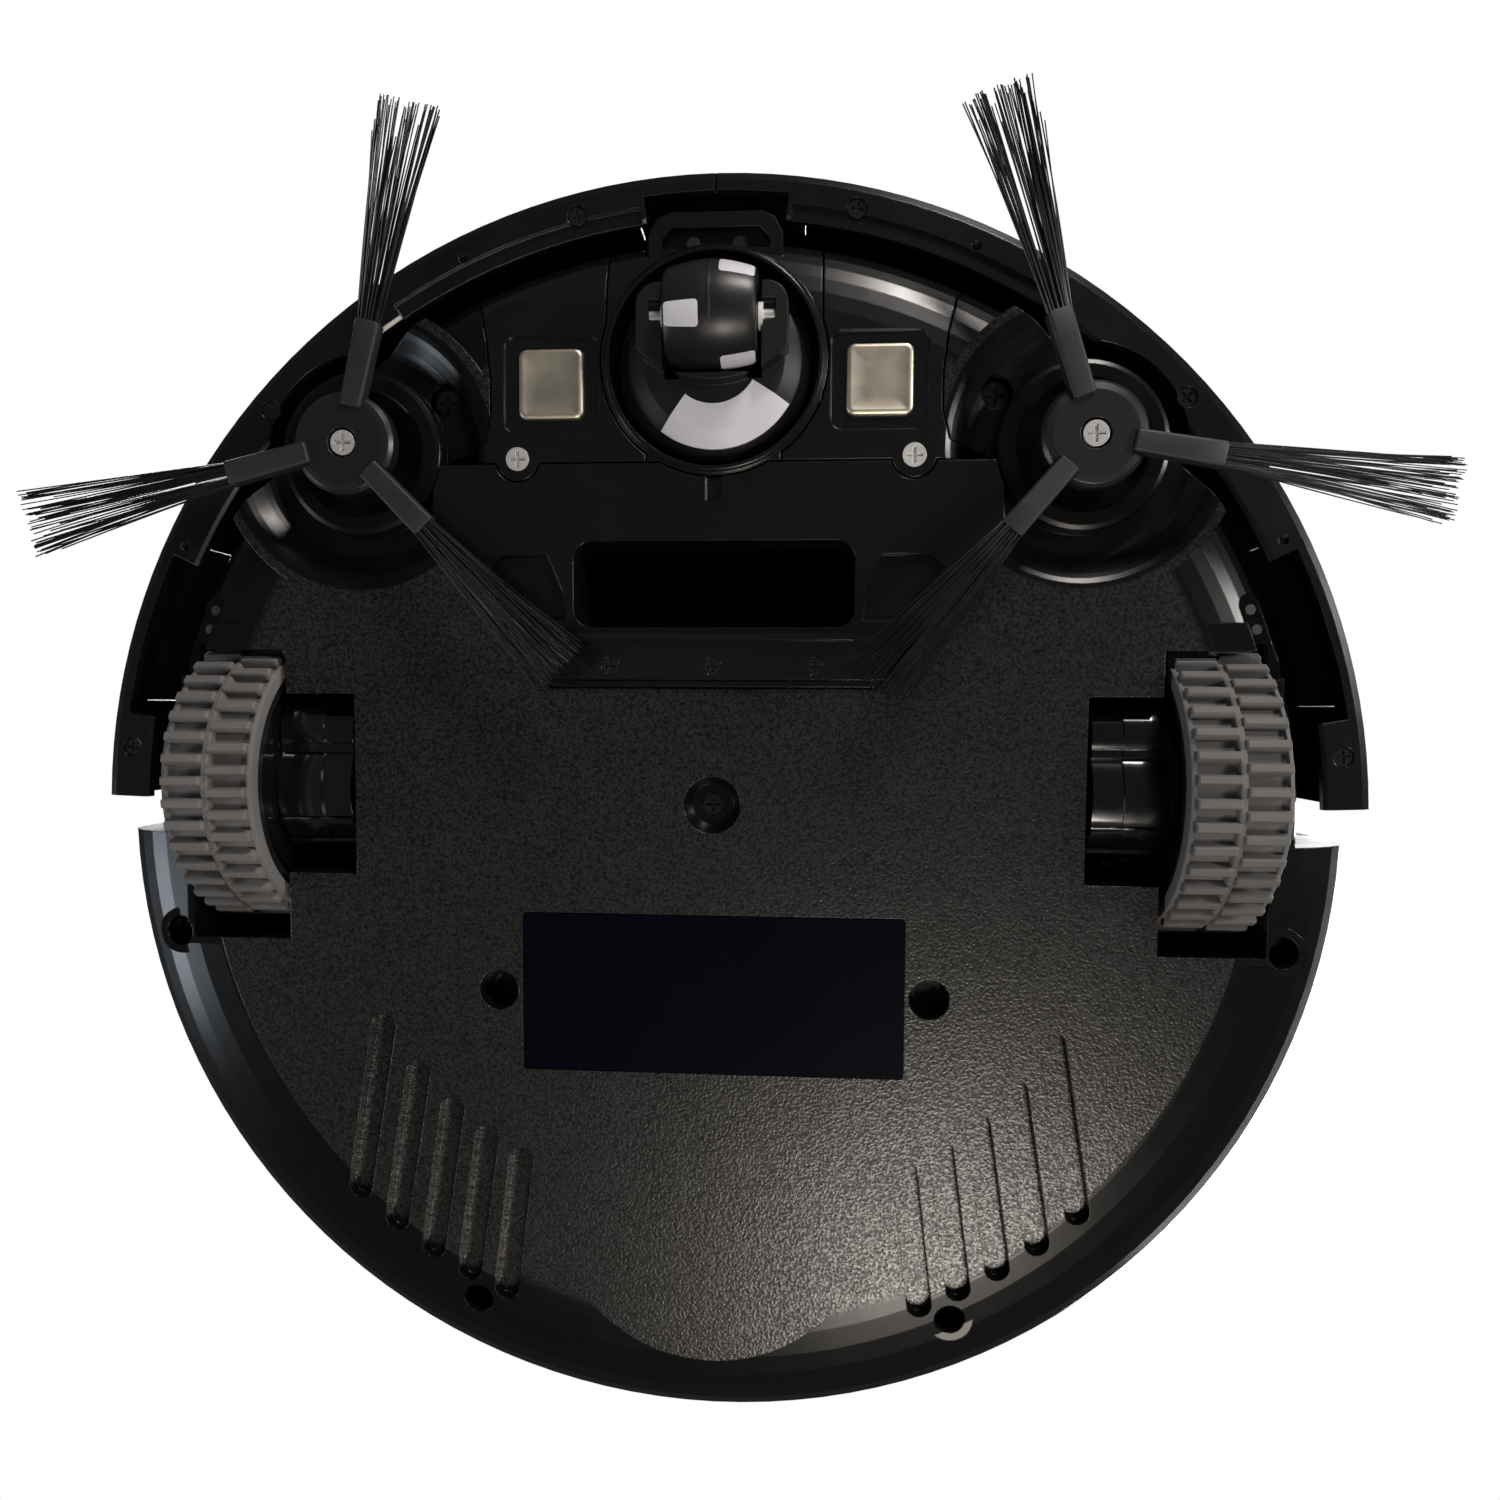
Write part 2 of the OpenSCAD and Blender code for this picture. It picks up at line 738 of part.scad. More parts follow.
module upper_housing() {
    color(soft_black) placed()
        intersection() {
            housing_shape();
            // Two side walls that meet at the nose.
            both_sides() block(shell_gap / 2, 200, -200, 200, 0, deck_seam);
        }
}

module top_deck() {
    color(soft_black) placed()
        intersection() {
            housing_shape();
            block(-200, 200, -200, 200, deck_seam + shell_gap, 100);
        }
}

module top_panel() {
    color(black) placed()
        difference() {
            translate([0, 0, panel_z]) rotate_extrude($fn = 180)
                polygon([[0, 0], [panel_r, 0], [panel_r, 1.2], [panel_r - 0.8, 2], [0, 2]]);
            translate([0, button_y, 60]) cylinder(r = button_r + 3.4, h = 30);
        }
}

module start_button() {
    color(dark_grey) placed() translate([0, button_y, 0]) {
        rotate_extrude($fn = 96)
            polygon([[0, 79.2], [4, 79.25], [8, 79.5], [10, 79.7], [10.6, 79.6], [button_r, 79],
                [button_r, 76.4], [0, 76.4]]);
        translate([0, 0, 72]) cylinder(r = 3, h = 5);
    }
}

module light_ring() {
    color([0.75, 0.8, 0.85]) placed() translate([0, button_y, 0]) {
        tube(button_r + 3.3, button_r + 0.3, 76.2, 79.3);
        tube(button_r + 4.6, button_r + 0.3, 73, 74.8);
        tube(button_r + 3.3, button_r + 0.3, 74.7, 76.3);
    }
}

module ir_dome() {
    color(smoke) placed() translate([0, dome_y, 0]) rotate_extrude($fn = 64)
        polygon(concat([[0, 74], [7, 74], [7, deck_top]],
            [for (i = [1 : 8]) [7 * cos(90 * i / 8), deck_top + 4 * sin(90 * i / 8)]]));
}

module power_switch() {
    color(dark_grey) placed() translate([rocker_x, switch_y, switch_z]) rotate([0, 0, -rocker_tilt])
        union() {
            // Rocker with two slightly raised ends, pivoting about an upright pin.
            linear_extrude(7.6, center = true)
                polygon([[-1.5, -6.6], [3.2, -6.6], [4.2, -6.2], [2.4, 0], [4.2, 6.2], [3.2, 6.6],
                    [-1.5, 6.6], [-3.4, 0]]);
            cylinder(r = 1.2, h = 11, center = true);
        }
}

module dc_jack() {
    color(dark_grey) placed() translate([-side_x, switch_y, switch_z]) rotate([0, 90, 0])
        difference() {
            union() {
                translate([0, 0, 0.6]) cylinder(r = 6, h = 4.6);
                translate([-5, -5, 5]) cube([10, 10, 9.5]);
            }
            translate([0, 0, -1]) cylinder(r = 3.2, h = 12);
        }
}

// ---------- bumper ----------

module bumper_section() {
    polygon([
        // Lower flange and its rounded outer corner.
        [flange_r, bumper_low + 0.6], [flange_r + 0.8, bumper_low], [bumper_r - 2.2, bumper_low],
        [bumper_r - 0.7, bumper_low + 0.7], [bumper_r, bumper_low + 2.6],
        // Top edge and its lip, which reaches in over the body.
        [bumper_r, bumper_top - 3], [bumper_r - 1, bumper_top - 0.6], [bumper_r - 2.4, bumper_top],
        [body_r - 2, bumper_top], [body_r - 2, bumper_top - 1.6],
        // Inner face.
        [bumper_r - bumper_wall, bumper_top - 1.6], [bumper_r - bumper_wall, bumper_low + 2.2],
        [flange_r, bumper_low + 2.2]
    ]);
}

// A block bent round the body between two angles.
module arc_block(r0, r1, a0, a1, z0, z1) {
    rotate([0, 0, a0]) translate([0, 0, z0]) rotate_extrude(angle = a1 - a0, $fn = 180)
        translate([r0, 0]) square([r1 - r0, z1 - z0]);
}

module bumper_shell() {
    color(black) placed()
        difference() {
            rotate([0, 0, bumper_start])
                rotate_extrude(angle = 180 - 2 * bumper_start, $fn = 180) bumper_section();
            // Openings in the flange, at the nose and on both sides.
            arc_block(flange_r - 1, 135.4, 83.4, 96.6, 0, bumper_low + 4);
            both_sides() arc_block(flange_r - 1, 136, 10, 25.8, 0, bumper_low + 4);
            both_sides() at_brush() cylinder(r = pod_r + 4.2, h = 30);
            // Windows for the obstacle sensors.
            arc_block(120, 150, 82, 98, window_low, window_high);
            both_sides() arc_block(120, 150, 11, 27, window_low, window_high);
            // Shallow step along the inner half of the flange.
            both_sides() arc_block(flange_r - 1, 133.2, 58, 83, 0, bumper_low + 0.8);
            // Centre mark and screw seats.
            block(-0.3, 0.3, 135, 150, 0, bumper_low + 1);
            both_sides() {
                for (a = bumper_screw_angles) rotate([0, 0, a]) translate([flange_line_r, 0, 0]) {
                    cylinder(r = 2.1, h = bumper_low + 1.2);
                    cylinder(r = 0.8, h = bumper_low + 3);
                }
                for (a = bumper_pip_angles) rotate([0, 0, a]) translate([flange_line_r, 0, 0])
                    cylinder(r = 1, h = bumper_low + 0.8);
            }
        }
}

module bumper_windows() {
    color(smoke) placed() {
        arc_block(bumper_r - 2.2, bumper_r - 0.6, 82.1, 97.9, window_low + 0.1, window_high - 0.1);
        both_sides()
            arc_block(bumper_r - 2.2, bumper_r - 0.6, 11.1, 26.9, window_low + 0.1, window_high - 0.1);
    }
}

module bumper_screws() {
    color(dark_grey) placed() both_sides() for (a = bumper_screw_angles)
        rotate([0, 0, a]) translate([flange_line_r, 0, 0]) {
            pan_head(2, 0.9, bumper_low + 0.3);
            translate([0, 0, bumper_low + 1.1]) cylinder(r = 0.75, h = 1.8);
        }
}

module at_switch() {
    rotate([0, 0, 58]) translate([118, 0, 47.5]) children();
}

module bumper_switches() {
    color(dark_grey) placed() both_sides() at_switch() {
        block(-8, 5, -6.5, 6.5, -3.5, 3.5);
        rod_x(1.2, 0, 15.6);
    }
}

// ---------- caster ----------

// Outline of the boss that carries the roller: straight sides, and round towards the back.
module fork_outline() {
    intersection() {
        translate([0, 2]) rounded_rect(31.6, 24, 4.5);
        translate([0, 16.3]) circle(r = 22, $fn = 128);
    }
}

module caster_fork() {
    color(soft_black) placed() translate([0, caster_y, 0])
        difference() {
            union() {
                // Domed disc that turns in the socket.
                rotate_extrude($fn = 128)
                    polygon([[0, 12.6], [11, 12.8], [15, 13.6], [18.6, 15.4], [20.6, 17.8], [21.4, 20.4],
                        [21.4, 28], [0, 28]]);
                translate([0, 0, 26]) cylinder(r = 4, h = 12);
                translate([0, 0, fork_z]) linear_extrude(20 - fork_z) fork_outline();
            }
            translate([-caster_w / 2 - 0.8, caster_trail, caster_r]) rod_x(caster_r + 1, 0, caster_w + 1.6);
            // Snap-in seats for the axle, open towards the floor.
            translate([0, caster_trail, caster_r]) rod_x(1.5, -axle_half, axle_half);
            block(-axle_half, axle_half, caster_trail - 1.5, caster_trail + 3, 0, caster_r);
            translate([0, caster_trail, caster_r]) rod_x(2.8, -10.6, 10.6);
            block(-10.6, 10.6, caster_trail - 2.8, caster_trail + 2.8, 0, caster_r);
        }
}

module caster_sticker() {
    color(white) placed() translate([0, caster_y, 0])
        intersection() {
            rotate_extrude($fn = 128)
                polygon([[9.6, 12.45], [11, 12.5], [15, 13.3], [18.5, 15.05], [18.5, 15.35], [15, 13.6],
                    [11, 12.8], [9.6, 12.76]]);
            linear_extrude(30) polygon([[0, 0], [-30, -17.3], [-20, -28], [0, -34], [20, -25.6]]);
        }
}

// Half length of the seats for the axle, and the height of the boss's face over the floor.
axle_half = 13.2;
fork_z = 8.8;

// Profile of the barrel-shaped roller, as [radius, distance along the axle], from the middle out.
barrel = [[caster_r, 0], [caster_r - 0.1, 2], [caster_r - 0.6, 5], [caster_r - 1.5, caster_w / 2 - 0.5],
    [8.4, caster_w / 2], [1.5 + run_fit, caster_w / 2]];

module caster_wheel() {
    color(soft_black) placed() translate([0, caster_y + caster_trail, caster_r]) rotate([0, 90, 0])
        rotate_extrude($fn = 96)
            polygon(concat(barrel, [for (i = [len(barrel) - 1 : -1 : 1]) [barrel[i][0], -barrel[i][1]]]));
}

module caster_axle() {
    color(steel) placed() translate([0, caster_y + caster_trail, caster_r])
        rod_x(1.5, -axle_half + 0.1, axle_half - 0.1);
}

module caster_bushes() {
    color(white) placed() translate([0, caster_y + caster_trail, caster_r]) both_sides()
        difference() {
            rod_x(2.8, caster_w / 2 + 0.1, 10.6);
            rod_x(1.5, 0, 12);
        }
}

// ---------- drive wheels ----------

// One row of tyre lugs as a toothed outline.
module lug_row(shift) {
    pitch = 360 / lug_count;
    // Each lug's corners, as parts of the pitch, and their radii.
    along = [0, 0.08, 0.44, 0.52];
    radii = [tyre_r - 2.4, tyre_r, tyre_r, tyre_r - 2.4];
    polygon([
        for (i = [0 : lug_count - 1], k = [0 : 3])
            let (a = (i + shift + along[k]) * pitch)
            radii[k] * [cos(a), sin(a)]
    ]);
}

module at_axle() {
    translate([tyre_x, axle_y, tyre_r]) rotate([0, 90, 0]) children();
}

module tyre(s) {
    color(tyre_grey) placed() on_side(s) at_axle()
        difference() {
            union() {
                linear_extrude(1) circle(r = tyre_r - 1.6, $fn = 120);
                translate([0, 0, 0.8]) linear_extrude(tyre_w / 2 - 1.4) lug_row(0);
                translate([0, 0, tyre_w / 2 - 0.7]) linear_extrude(1.4) circle(r = tyre_r - 0.9, $fn = 120);
                translate([0, 0, tyre_w / 2 + 0.6]) linear_extrude(tyre_w / 2 - 1.4) lug_row(0.5);
                translate([0, 0, tyre_w - 1]) linear_extrude(1) circle(r = tyre_r - 1.6, $fn = 120);
            }
            translate([0, 0, -1]) cylinder(r = tyre_r - 5, h = tyre_w + 2, $fn = 120);
        }
}

module wheel_hub(s) {
    web = 12.4;
    color(soft_black) placed() on_side(s) at_axle()
        difference() {
            union() {
                difference() {
                    translate([0, 0, 0.6]) cylinder(r = tyre_r - 5, h = tyre_w - 1.2, $fn = 120);
                    cylinder(r = tyre_r - 7, h = web, $fn = 120);
                    translate([0, 0, web + 2.6]) cylinder(r = tyre_r - 7, h = 20, $fn = 120);
                }
                translate([0, 0, web]) cylinder(r = 8, h = tyre_w - web - 1);
                for (i = [0 : 5]) rotate([0, 0, 60 * i])
                    translate([6, -1.2, web + 2]) cube([tyre_r - 12.5, 2.4, 3.6]);
            }
            translate([0, 0, web - 1]) cylinder(r = 4 + run_fit, h = 5.6);
        }
}

// One length of the gear case: lobes and ribs that run along the axle.
module case_length(x0, x1, inset) {
    for (c = case_lobes) translate([0, c[0], c[1]]) rod_x(c[2] - inset, x0, x1);
    for (c = case_ribs) block(x0, x1, c[0], c[1], c[2] + inset, 30);
    block(x0, x1, -6, 20, 24, 36);
}

module wheel_arm(s) {
    color(black) placed() on_side(s)
        difference() {
            union() {
                case_length(case_seam, case_x1, 0);
                case_length(case_x0, case_seam + 0.1, 0.5);
                translate([0, axle_y, tyre_r]) {
                    rod_x(core_r, case_x0, tyre_x + 4);
                    rod_x(23.6, tyre_x + 2, tyre_x + 11.4);
                    rod_x(4, tyre_x + 11, tyre_x + 16.6);
                }
                // Arm back to the suspension pin.
                block(88, 94.6, pivot_y, axle_y, 32, 44);
                translate([0, pivot_y, pivot_z]) rod_x(6, 88, 94.6);
                // Socket for the motor can.
                translate([0, axle_y, motor_z]) rod_x(12.2, 76, 84);
            }
            translate([0, pivot_y, pivot_z]) rod_x(pin_r + run_fit, 80, 100);
            translate([0, axle_y, motor_z]) rod_x(11, 70, 82);
        }
}

module wheel_motor(s) {
    color(steel) placed() on_side(s) translate([0, axle_y, motor_z])
        union() {
            rod_x(11 - run_fit, 58, 81.95);
            rod_x(3.6, 55.6, 58.4);
        }
}

module suspension_pins() {
    color(steel) placed() both_sides() translate([0, pivot_y, pivot_z]) rod_x(pin_r, 79.6, 99);
}

// Torsion spring: a helix of round wire about the suspension pin.
module coil(r, wire, pitch, turns) {
    n = 12;
    sides = 6;
    rings = n * turns;
    points = [
        for (i = [0 : rings], k = [0 : sides - 1])
            let (a = 360 * i / n, b = 360 * k / sides, q = r + wire * cos(b))
            [q * cos(a), q * sin(a), pitch * i / n + wire * sin(b)]
    ];
    sides_faces = [
        for (i = [0 : rings - 1], k = [0 : sides - 1])
            let (k2 = (k + 1) % sides)
            [i * sides + k, i * sides + k2, (i + 1) * sides + k2, (i + 1) * sides + k]
    ];
    caps = [[for (k = [sides - 1 : -1 : 0]) k], [for (k = [0 : sides - 1]) rings * sides + k]];
    polyhedron(points, concat(sides_faces, caps));
}

module suspension_springs() {
    color(steel) placed() both_sides() translate([83.6, pivot_y, pivot_z]) rotate([0, 90, 0])
        coil(4.1, 0.45, 1.02, 3);
}

// ---------- side brushes ----------

function brush_angle(s) = 90 + (s > 0 ? lead_right : lead_left);

module at_arms(s) {
    on_side(s) at_brush() for (i = [0 : 2]) rotate([0, 0, brush_angle(s) + 120 * i]) children();
}

module brush_hub(s) {
    color(soft_black) placed()
        difference() {
            on_side(s) at_brush() union() {
                rotate_extrude($fn = 96)
                    polygon([[0, 6.1], [8.6, 6.1], [9.9, 6.4], [hub_r, 7.2], [hub_r, 10], [6, 11], [6, 16],
                        [0, 16]]);
                translate([0, 0, 15]) cylinder(r = 2.5, h = 13);
            }
            at_arms(s) block(8, 12, -clamp_w / 2, clamp_w / 2, 0, 8.6);
            // Recess for the screw's head, and its hole.
            on_side(s) at_brush() cylinder(r = 3.1, h = 7.6);
            on_side(s) at_brush() cylinder(r = 1.2, h = 13);
        }
}

module brush_clamps(s) {
    color(dark_grey) placed() at_arms(s)
        rotate([90, 0, 0]) linear_extrude(clamp_w, center = true)
            polygon([[8, 5.4], [12, 5.2], [clamp_end, 4.4], [clamp_end, 7.6], [12, 8.6], [8, 8.6]]);
}

module bristles(s) {
    color([0.02, 0.02, 0.02]) placed() at_arms(s)
        intersection() {
            rotate([90, 0, 0]) linear_extrude(40, center = true)
                polygon([[clamp_end, 4.8], [bristle_r, 0.3], [bristle_r, 1], [clamp_end, 7.2]]);
            linear_extrude(20)
                polygon([[clamp_end, -2.1], [bristle_r, -tuft_half], [bristle_r, tuft_half],
                    [clamp_end, 2.1]]);
        }
}

module brush_screw(s) {
    color(steel) placed() on_side(s) at_brush() {
        pan_head(2.6, 1.3, 6.3);
        translate([0, 0, 7.5]) cylinder(r = 1.2, h = 5);
    }
}

module brush_motors() {
    color(dark_grey) placed() both_sides() at_brush()
        difference() {
            union() {
                translate([0, 0, 23.2]) cylinder(r = 11.4, h = 9);
                translate([-4, 0, 32]) cylinder(r = 8.5, h = 20);
            }
            cylinder(r = 2.5 + run_fit, h = 29);
        }
}

// ---------- inside: air path, bin, power ----------

module intake_duct() {
    color(dark_grey) placed()
        difference() {
            union() {
                block(-inlet_half - 4, inlet_half + 4, inlet_y0 - 4, inlet_y1 + 4, 27, duct_z);
                block(-inlet_half - 1, inlet_half + 1, bin_front_y + 3.4, inlet_y0, seam_z + 2, duct_z);
            }
            block(-inlet_half - 2.2, inlet_half + 2.2, inlet_y0 - 2.2, inlet_y1 + 2.2, 20, duct_z - 1.8);
            block(-inlet_half + 0.8, inlet_half - 0.8, bin_front_y - 4, inlet_y0, seam_z + 3.8, duct_z - 1.8);
        }
}

module bin_bay() {
    x1 = bin_x + bay_gap;
    top = bin_z + bin_h + 1;
    color(dark_grey) placed()
        difference() {
            intersection() {
                block(-x1 - 1.8, x1 + 1.8, -140, bin_front_y + 3.2, bin_z - bay_gap - 1.8, top);
                cylinder(r = body_r - wall - 0.4, h = 100, $fn = 180);
            }
            block(-x1, x1, -150, bin_front_y + bay_gap, bin_z - bay_gap, top + 5);
            block(-inlet_half + 0.8, inlet_half - 0.8, bin_front_y - 5, bin_front_y + 5,
                seam_z + 3.8, duct_z - 1.8);
            block(bin_x, bin_x + 5, fan_y - 14, fan_y + 14, fan_z - 8, fan_z + 8);
        }
}

module dust_bin() {
    color(smoke) placed()
        difference() {
            union() {
                intersection() {
                    block(-bin_x, bin_x, -140, bin_front_y, bin_z, bin_z + bin_h - 2.2);
                    cylinder(r = body_r - 0.2, h = 100, $fn = 180);
                }
                // Rear face plate, flush with the body.
                intersection() {
                    block(-bin_x, bin_x, -140, -122, bin_z, bin_z + bin_h);
                    tube(body_r, body_r - 3, 0, 100);
                }
            }
            intersection() {
                block(-bin_x + 1.8, bin_x - 1.8, -140, bin_front_y - 1.8, bin_z + 1.8, bin_z + bin_h);
                cylinder(r = body_r - 5, h = 100, $fn = 180);
            }
            // Mouth for the dirt and the window that the filter covers.
            block(-inlet_half + 1.6, inlet_half - 1.6, bin_front_y - 5, bin_front_y + 5,
                seam_z + 5, duct_z - 3);
            block(bin_x - 5, bin_x + 5, fan_y - 28, fan_y + 28, bin_z + 4, bin_z + bin_h - 5);
            // Finger recess under the latch.
            translate([0, -body_r - 3, bin_z + 4]) rotate([0, 90, 0]) cylinder(r = 6, h = 46, center = true);
            block(-10.2, 10.2, -140, -body_r + 3.8, bin_z + 14, bin_z + 22);
        }
}

module bin_lid() {
    color(smoke) placed()
        intersection() {
            union() {
                block(-bin_x, bin_x, -140, bin_front_y, bin_z + bin_h - 2.2, bin_z + bin_h - 0.4);
                block(-bin_x + 2, bin_x - 2, -140, bin_front_y - 2, bin_z + bin_h - 3.6, bin_z + bin_h - 2);
            }
            cylinder(r = body_r - 5.2, h = 100, $fn = 180);
        }
}

module bin_filter() {
    color(white) placed()
        union() {
            for (i = [-13 : 13])
                translate([bin_x - 4.6, fan_y + 2 * i, bin_z + 4.2]) cube([2.8, 1.2, bin_h - 9.4]);
            block(bin_x - 3.2, bin_x - 1.85, fan_y - 27.8, fan_y + 27.8, bin_z + 4.2, bin_z + bin_h - 5.2);
        }
}

module bin_latch() {
    color(dark_grey) placed() intersection() {
        block(-10, 10, -140, -body_r + 4, bin_z + 14.2, bin_z + 21.8);
        tube(body_r, body_r - 1.8, 0, 100);
    }
}

module fan_housing() {
    color(dark_grey) placed() translate([0, fan_y, fan_z])
        difference() {
            union() {
                rod_x(fan_r, fan_x, fan_x + 20);
                block(fan_x, fan_x + 20, -45, 0, 4, fan_r);
                // Collar that meets the wall of the bin bay.
                rod_x(10, bin_x + bay_gap + 2, fan_x + 1);
            }
            rod_x(fan_r - 1.8, fan_x + 1.8, fan_x + 18.2);
            rod_x(8, bin_x, fan_x + 3);
            rod_x(4, fan_x + 17, fan_x + 22);
            block(fan_x + 1.8, fan_x + 18.2, -60, -2, 5.8, fan_r - 1.8);
        }
}

module fan_impeller() {
    color(white) placed() translate([fan_x, fan_y, fan_z])
        difference() {
            union() {
                rod_x(14.8, 14.6, 16);
                rod_x(4, 4, 16);
                for (i = [0 : 8]) rotate([40 * i, 0, 0]) block(5, 15, 3, 14.4, -0.6, 0.6);
            }
            rod_x(1.5, 3, 18);
        }
}

module fan_motor() {
    color(steel) placed() translate([fan_x, fan_y, fan_z]) {
        rod_x(12, 20, 38);
        rod_x(1.5 - run_fit, 5, 21);
    }
}

// Four cells, two on each side of the boss in the middle, joined across the top.
module battery_pack() {
    cell_r = 9.4;
    cell_x0 = 18;
    cell_x1 = cell_x0 + 2 * cell_r + 0.3;
    color([0.12, 0.2, 0.42]) placed()
        union() {
            for (x = [-cell_x1, -cell_x0, cell_x0, cell_x1])
                translate([x, -29, 27]) rotate([-90, 0, 0]) cylinder(r = cell_r, h = 65);
            both_sides() block(cell_x0, cell_x1, -28, 35, 18.4, 23);
            block(-cell_x1, cell_x1, -28, 35, 31, 36);
        }
}

module main_board() {
    color([0.05, 0.3, 0.16]) placed()
        difference() {
            union() {
                block(-56, 56, 68, 100, 62, 63.6);
                block(-12, 12, 76, 92, 63.4, 65.6);
                for (x = [-46, -34, 30, 44]) block(x, x + 8, 72, 80, 63.4, 68);
                for (x = [-44, 40]) translate([x, 93, 63.4]) cylinder(r = 4, h = 8);
            }
            for (x = [-52, 52], y = [72, 96]) translate([x, y, 60]) cylinder(r = 1.6, h = 8);
        }
}

bottom_chassis();
upper_housing();
top_deck();
top_panel();
front_cover(-1);  // front_cover_left
front_cover(1);  // front_cover_right
caster_socket();
inlet_cover();
inlet_blade();
cover_screws();
chassis_screws();
contact_plates();
label_plate();
front_cliff_window();
side_cliff_windows();
cliff_sensors();
bumper_shell();
bumper_windows();
bumper_screws();
bumper_switches();
caster_fork();
caster_sticker();
caster_wheel();
caster_axle();
caster_bushes();
wheel_arm(-1);  // wheel_arm_left
wheel_arm(1);  // wheel_arm_right
wheel_motor(-1);  // wheel_motor_left
wheel_motor(1);  // wheel_motor_right
tyre(-1);  // tyre_left
tyre(1);  // tyre_right
wheel_hub(-1);  // wheel_hub_left
wheel_hub(1);  // wheel_hub_right
suspension_pins();
suspension_springs();
brush_hub(-1);  // brush_hub_left
brush_hub(1);  // brush_hub_right
brush_clamps(-1);  // brush_clamps_left
brush_clamps(1);  // brush_clamps_right
bristles(-1);  // bristles_left
bristles(1);  // bristles_right
brush_screw(-1);  // brush_screw_left
brush_screw(1);  // brush_screw_right
brush_motors();
fan_housing();
fan_impeller();
fan_motor();
battery_pack();
main_board();
intake_duct();
bin_bay();
dust_bin();
bin_lid();
bin_filter();
bin_latch();
start_button();
light_ring();
ir_dome();
power_switch();
dc_jack();
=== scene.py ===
"""Looks for the robot vacuum: camera, light, materials, and finer meshes for some of the CAD's pieces."""
import json
import math
import random

import bmesh
import bpy
from mathutils import Matrix, Vector


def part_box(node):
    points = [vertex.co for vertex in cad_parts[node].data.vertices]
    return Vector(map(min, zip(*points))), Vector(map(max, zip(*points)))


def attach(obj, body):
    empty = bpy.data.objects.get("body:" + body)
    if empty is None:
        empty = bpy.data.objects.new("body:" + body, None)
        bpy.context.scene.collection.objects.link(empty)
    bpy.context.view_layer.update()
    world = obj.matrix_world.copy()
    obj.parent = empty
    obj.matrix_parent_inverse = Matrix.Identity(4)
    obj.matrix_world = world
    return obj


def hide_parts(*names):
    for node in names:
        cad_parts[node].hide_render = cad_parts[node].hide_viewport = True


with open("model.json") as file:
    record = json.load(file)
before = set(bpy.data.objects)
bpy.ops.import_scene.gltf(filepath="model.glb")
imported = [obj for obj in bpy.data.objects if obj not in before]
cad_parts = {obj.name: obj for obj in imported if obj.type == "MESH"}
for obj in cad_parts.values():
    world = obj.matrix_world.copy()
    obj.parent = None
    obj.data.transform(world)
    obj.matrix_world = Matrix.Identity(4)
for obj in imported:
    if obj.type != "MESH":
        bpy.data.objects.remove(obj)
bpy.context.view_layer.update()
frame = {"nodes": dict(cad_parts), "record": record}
MM = 0.001
RIGHT, LEFT = 1, -1
SIDES = {"right": RIGHT, "left": LEFT}


def centre(node):
    low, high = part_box(node)
    return (low + high) / 2


# ---------- camera, stage and light ----------

BODY_Y = centre("top_panel").y

# The camera's place, measured from the middle of the body on the floor.
CAMERA_OFFSET = (-20.4 * MM, 25.4 * MM, -201.2 * MM)
# How far it is turned from looking straight up, in degrees about X, Y and Z.
CAMERA_TILT = (-3.21, -3.83, 0.42)
SENSOR_WIDTH, LENS = 36, 24
CAMERA_SHIFT = (0.0067, 0.0093)

ROOM_COLOUR, ROOM_STRENGTH = (0.9, 0.94, 1.0, 1), 0.08

FLOOR_COLOUR, FLOOR_ROUGHNESS = (0.82, 0.82, 0.83, 1), 0.6
FLOOR_RADIUS = 3.0
# Distances from the machine at which the floor starts to fade and is gone.
FADE_START, FADE_END = 0.17, 0.5

# Name, place and size in metres, power in watts and colour. Each light points at the origin.
LIGHTS = [
    ("key_low", (-0.2, -0.62, -0.78), 0.3, 4.6, (1, 0.92, 0.82)),
    ("top_low", (-0.35, 0.9, -0.45), 0.2, 6, (1, 0.95, 0.9)),
    ("right_low", (-0.95, 0.25, -0.4), 0.2, 5.5, (1, 0.97, 0.93)),
    ("left_low", (0.95, -0.25, -0.3), 0.3, 2.6, (0.8, 0.9, 1)),
    ("key_high", (0.6, 0.8, 1.2), 1.0, 45, (1, 1, 1)),
    ("fill_high", (-0.9, -0.5, 1.0), 1.2, 30, (1, 1, 1)),
]


def add_camera():
    """The camera is under the machine and looks up at it, with the front of the machine at the top."""
    x, y, z = CAMERA_OFFSET
    tilt = Vector([math.radians(a) for a in CAMERA_TILT])
    turn = Matrix.Rotation(tilt.length, 3, tilt.normalized())
    right, up, ahead = -turn[0], turn[1], turn[2]
    data = bpy.data.cameras.new("camera")
    data.sensor_width = SENSOR_WIDTH
    data.lens = LENS
    data.shift_x, data.shift_y = CAMERA_SHIFT
    data.clip_start = 0.01
    data.clip_end = 50
    camera = bpy.data.objects.new("camera", data)
    axes = Matrix((right, up, -ahead)).transposed()
    camera.matrix_world = Matrix.Translation((x, BODY_Y + y, z)) @ axes.to_4x4()
    bpy.context.scene.collection.objects.link(camera)
    bpy.context.scene.camera = camera


def add_light(name, place, size, power, colour):
    data = bpy.data.lights.new(name, "AREA")
    data.shape = "RECTANGLE"
    data.size = data.size_y = size
    data.energy = power
    data.color = colour
    light = bpy.data.objects.new(name, data)
    aim = (-Vector(place)).to_track_quat("-Z", "Y").to_matrix()
    light.matrix_world = Matrix.Translation(place) @ aim.to_4x4()
    bpy.context.scene.collection.objects.link(light)


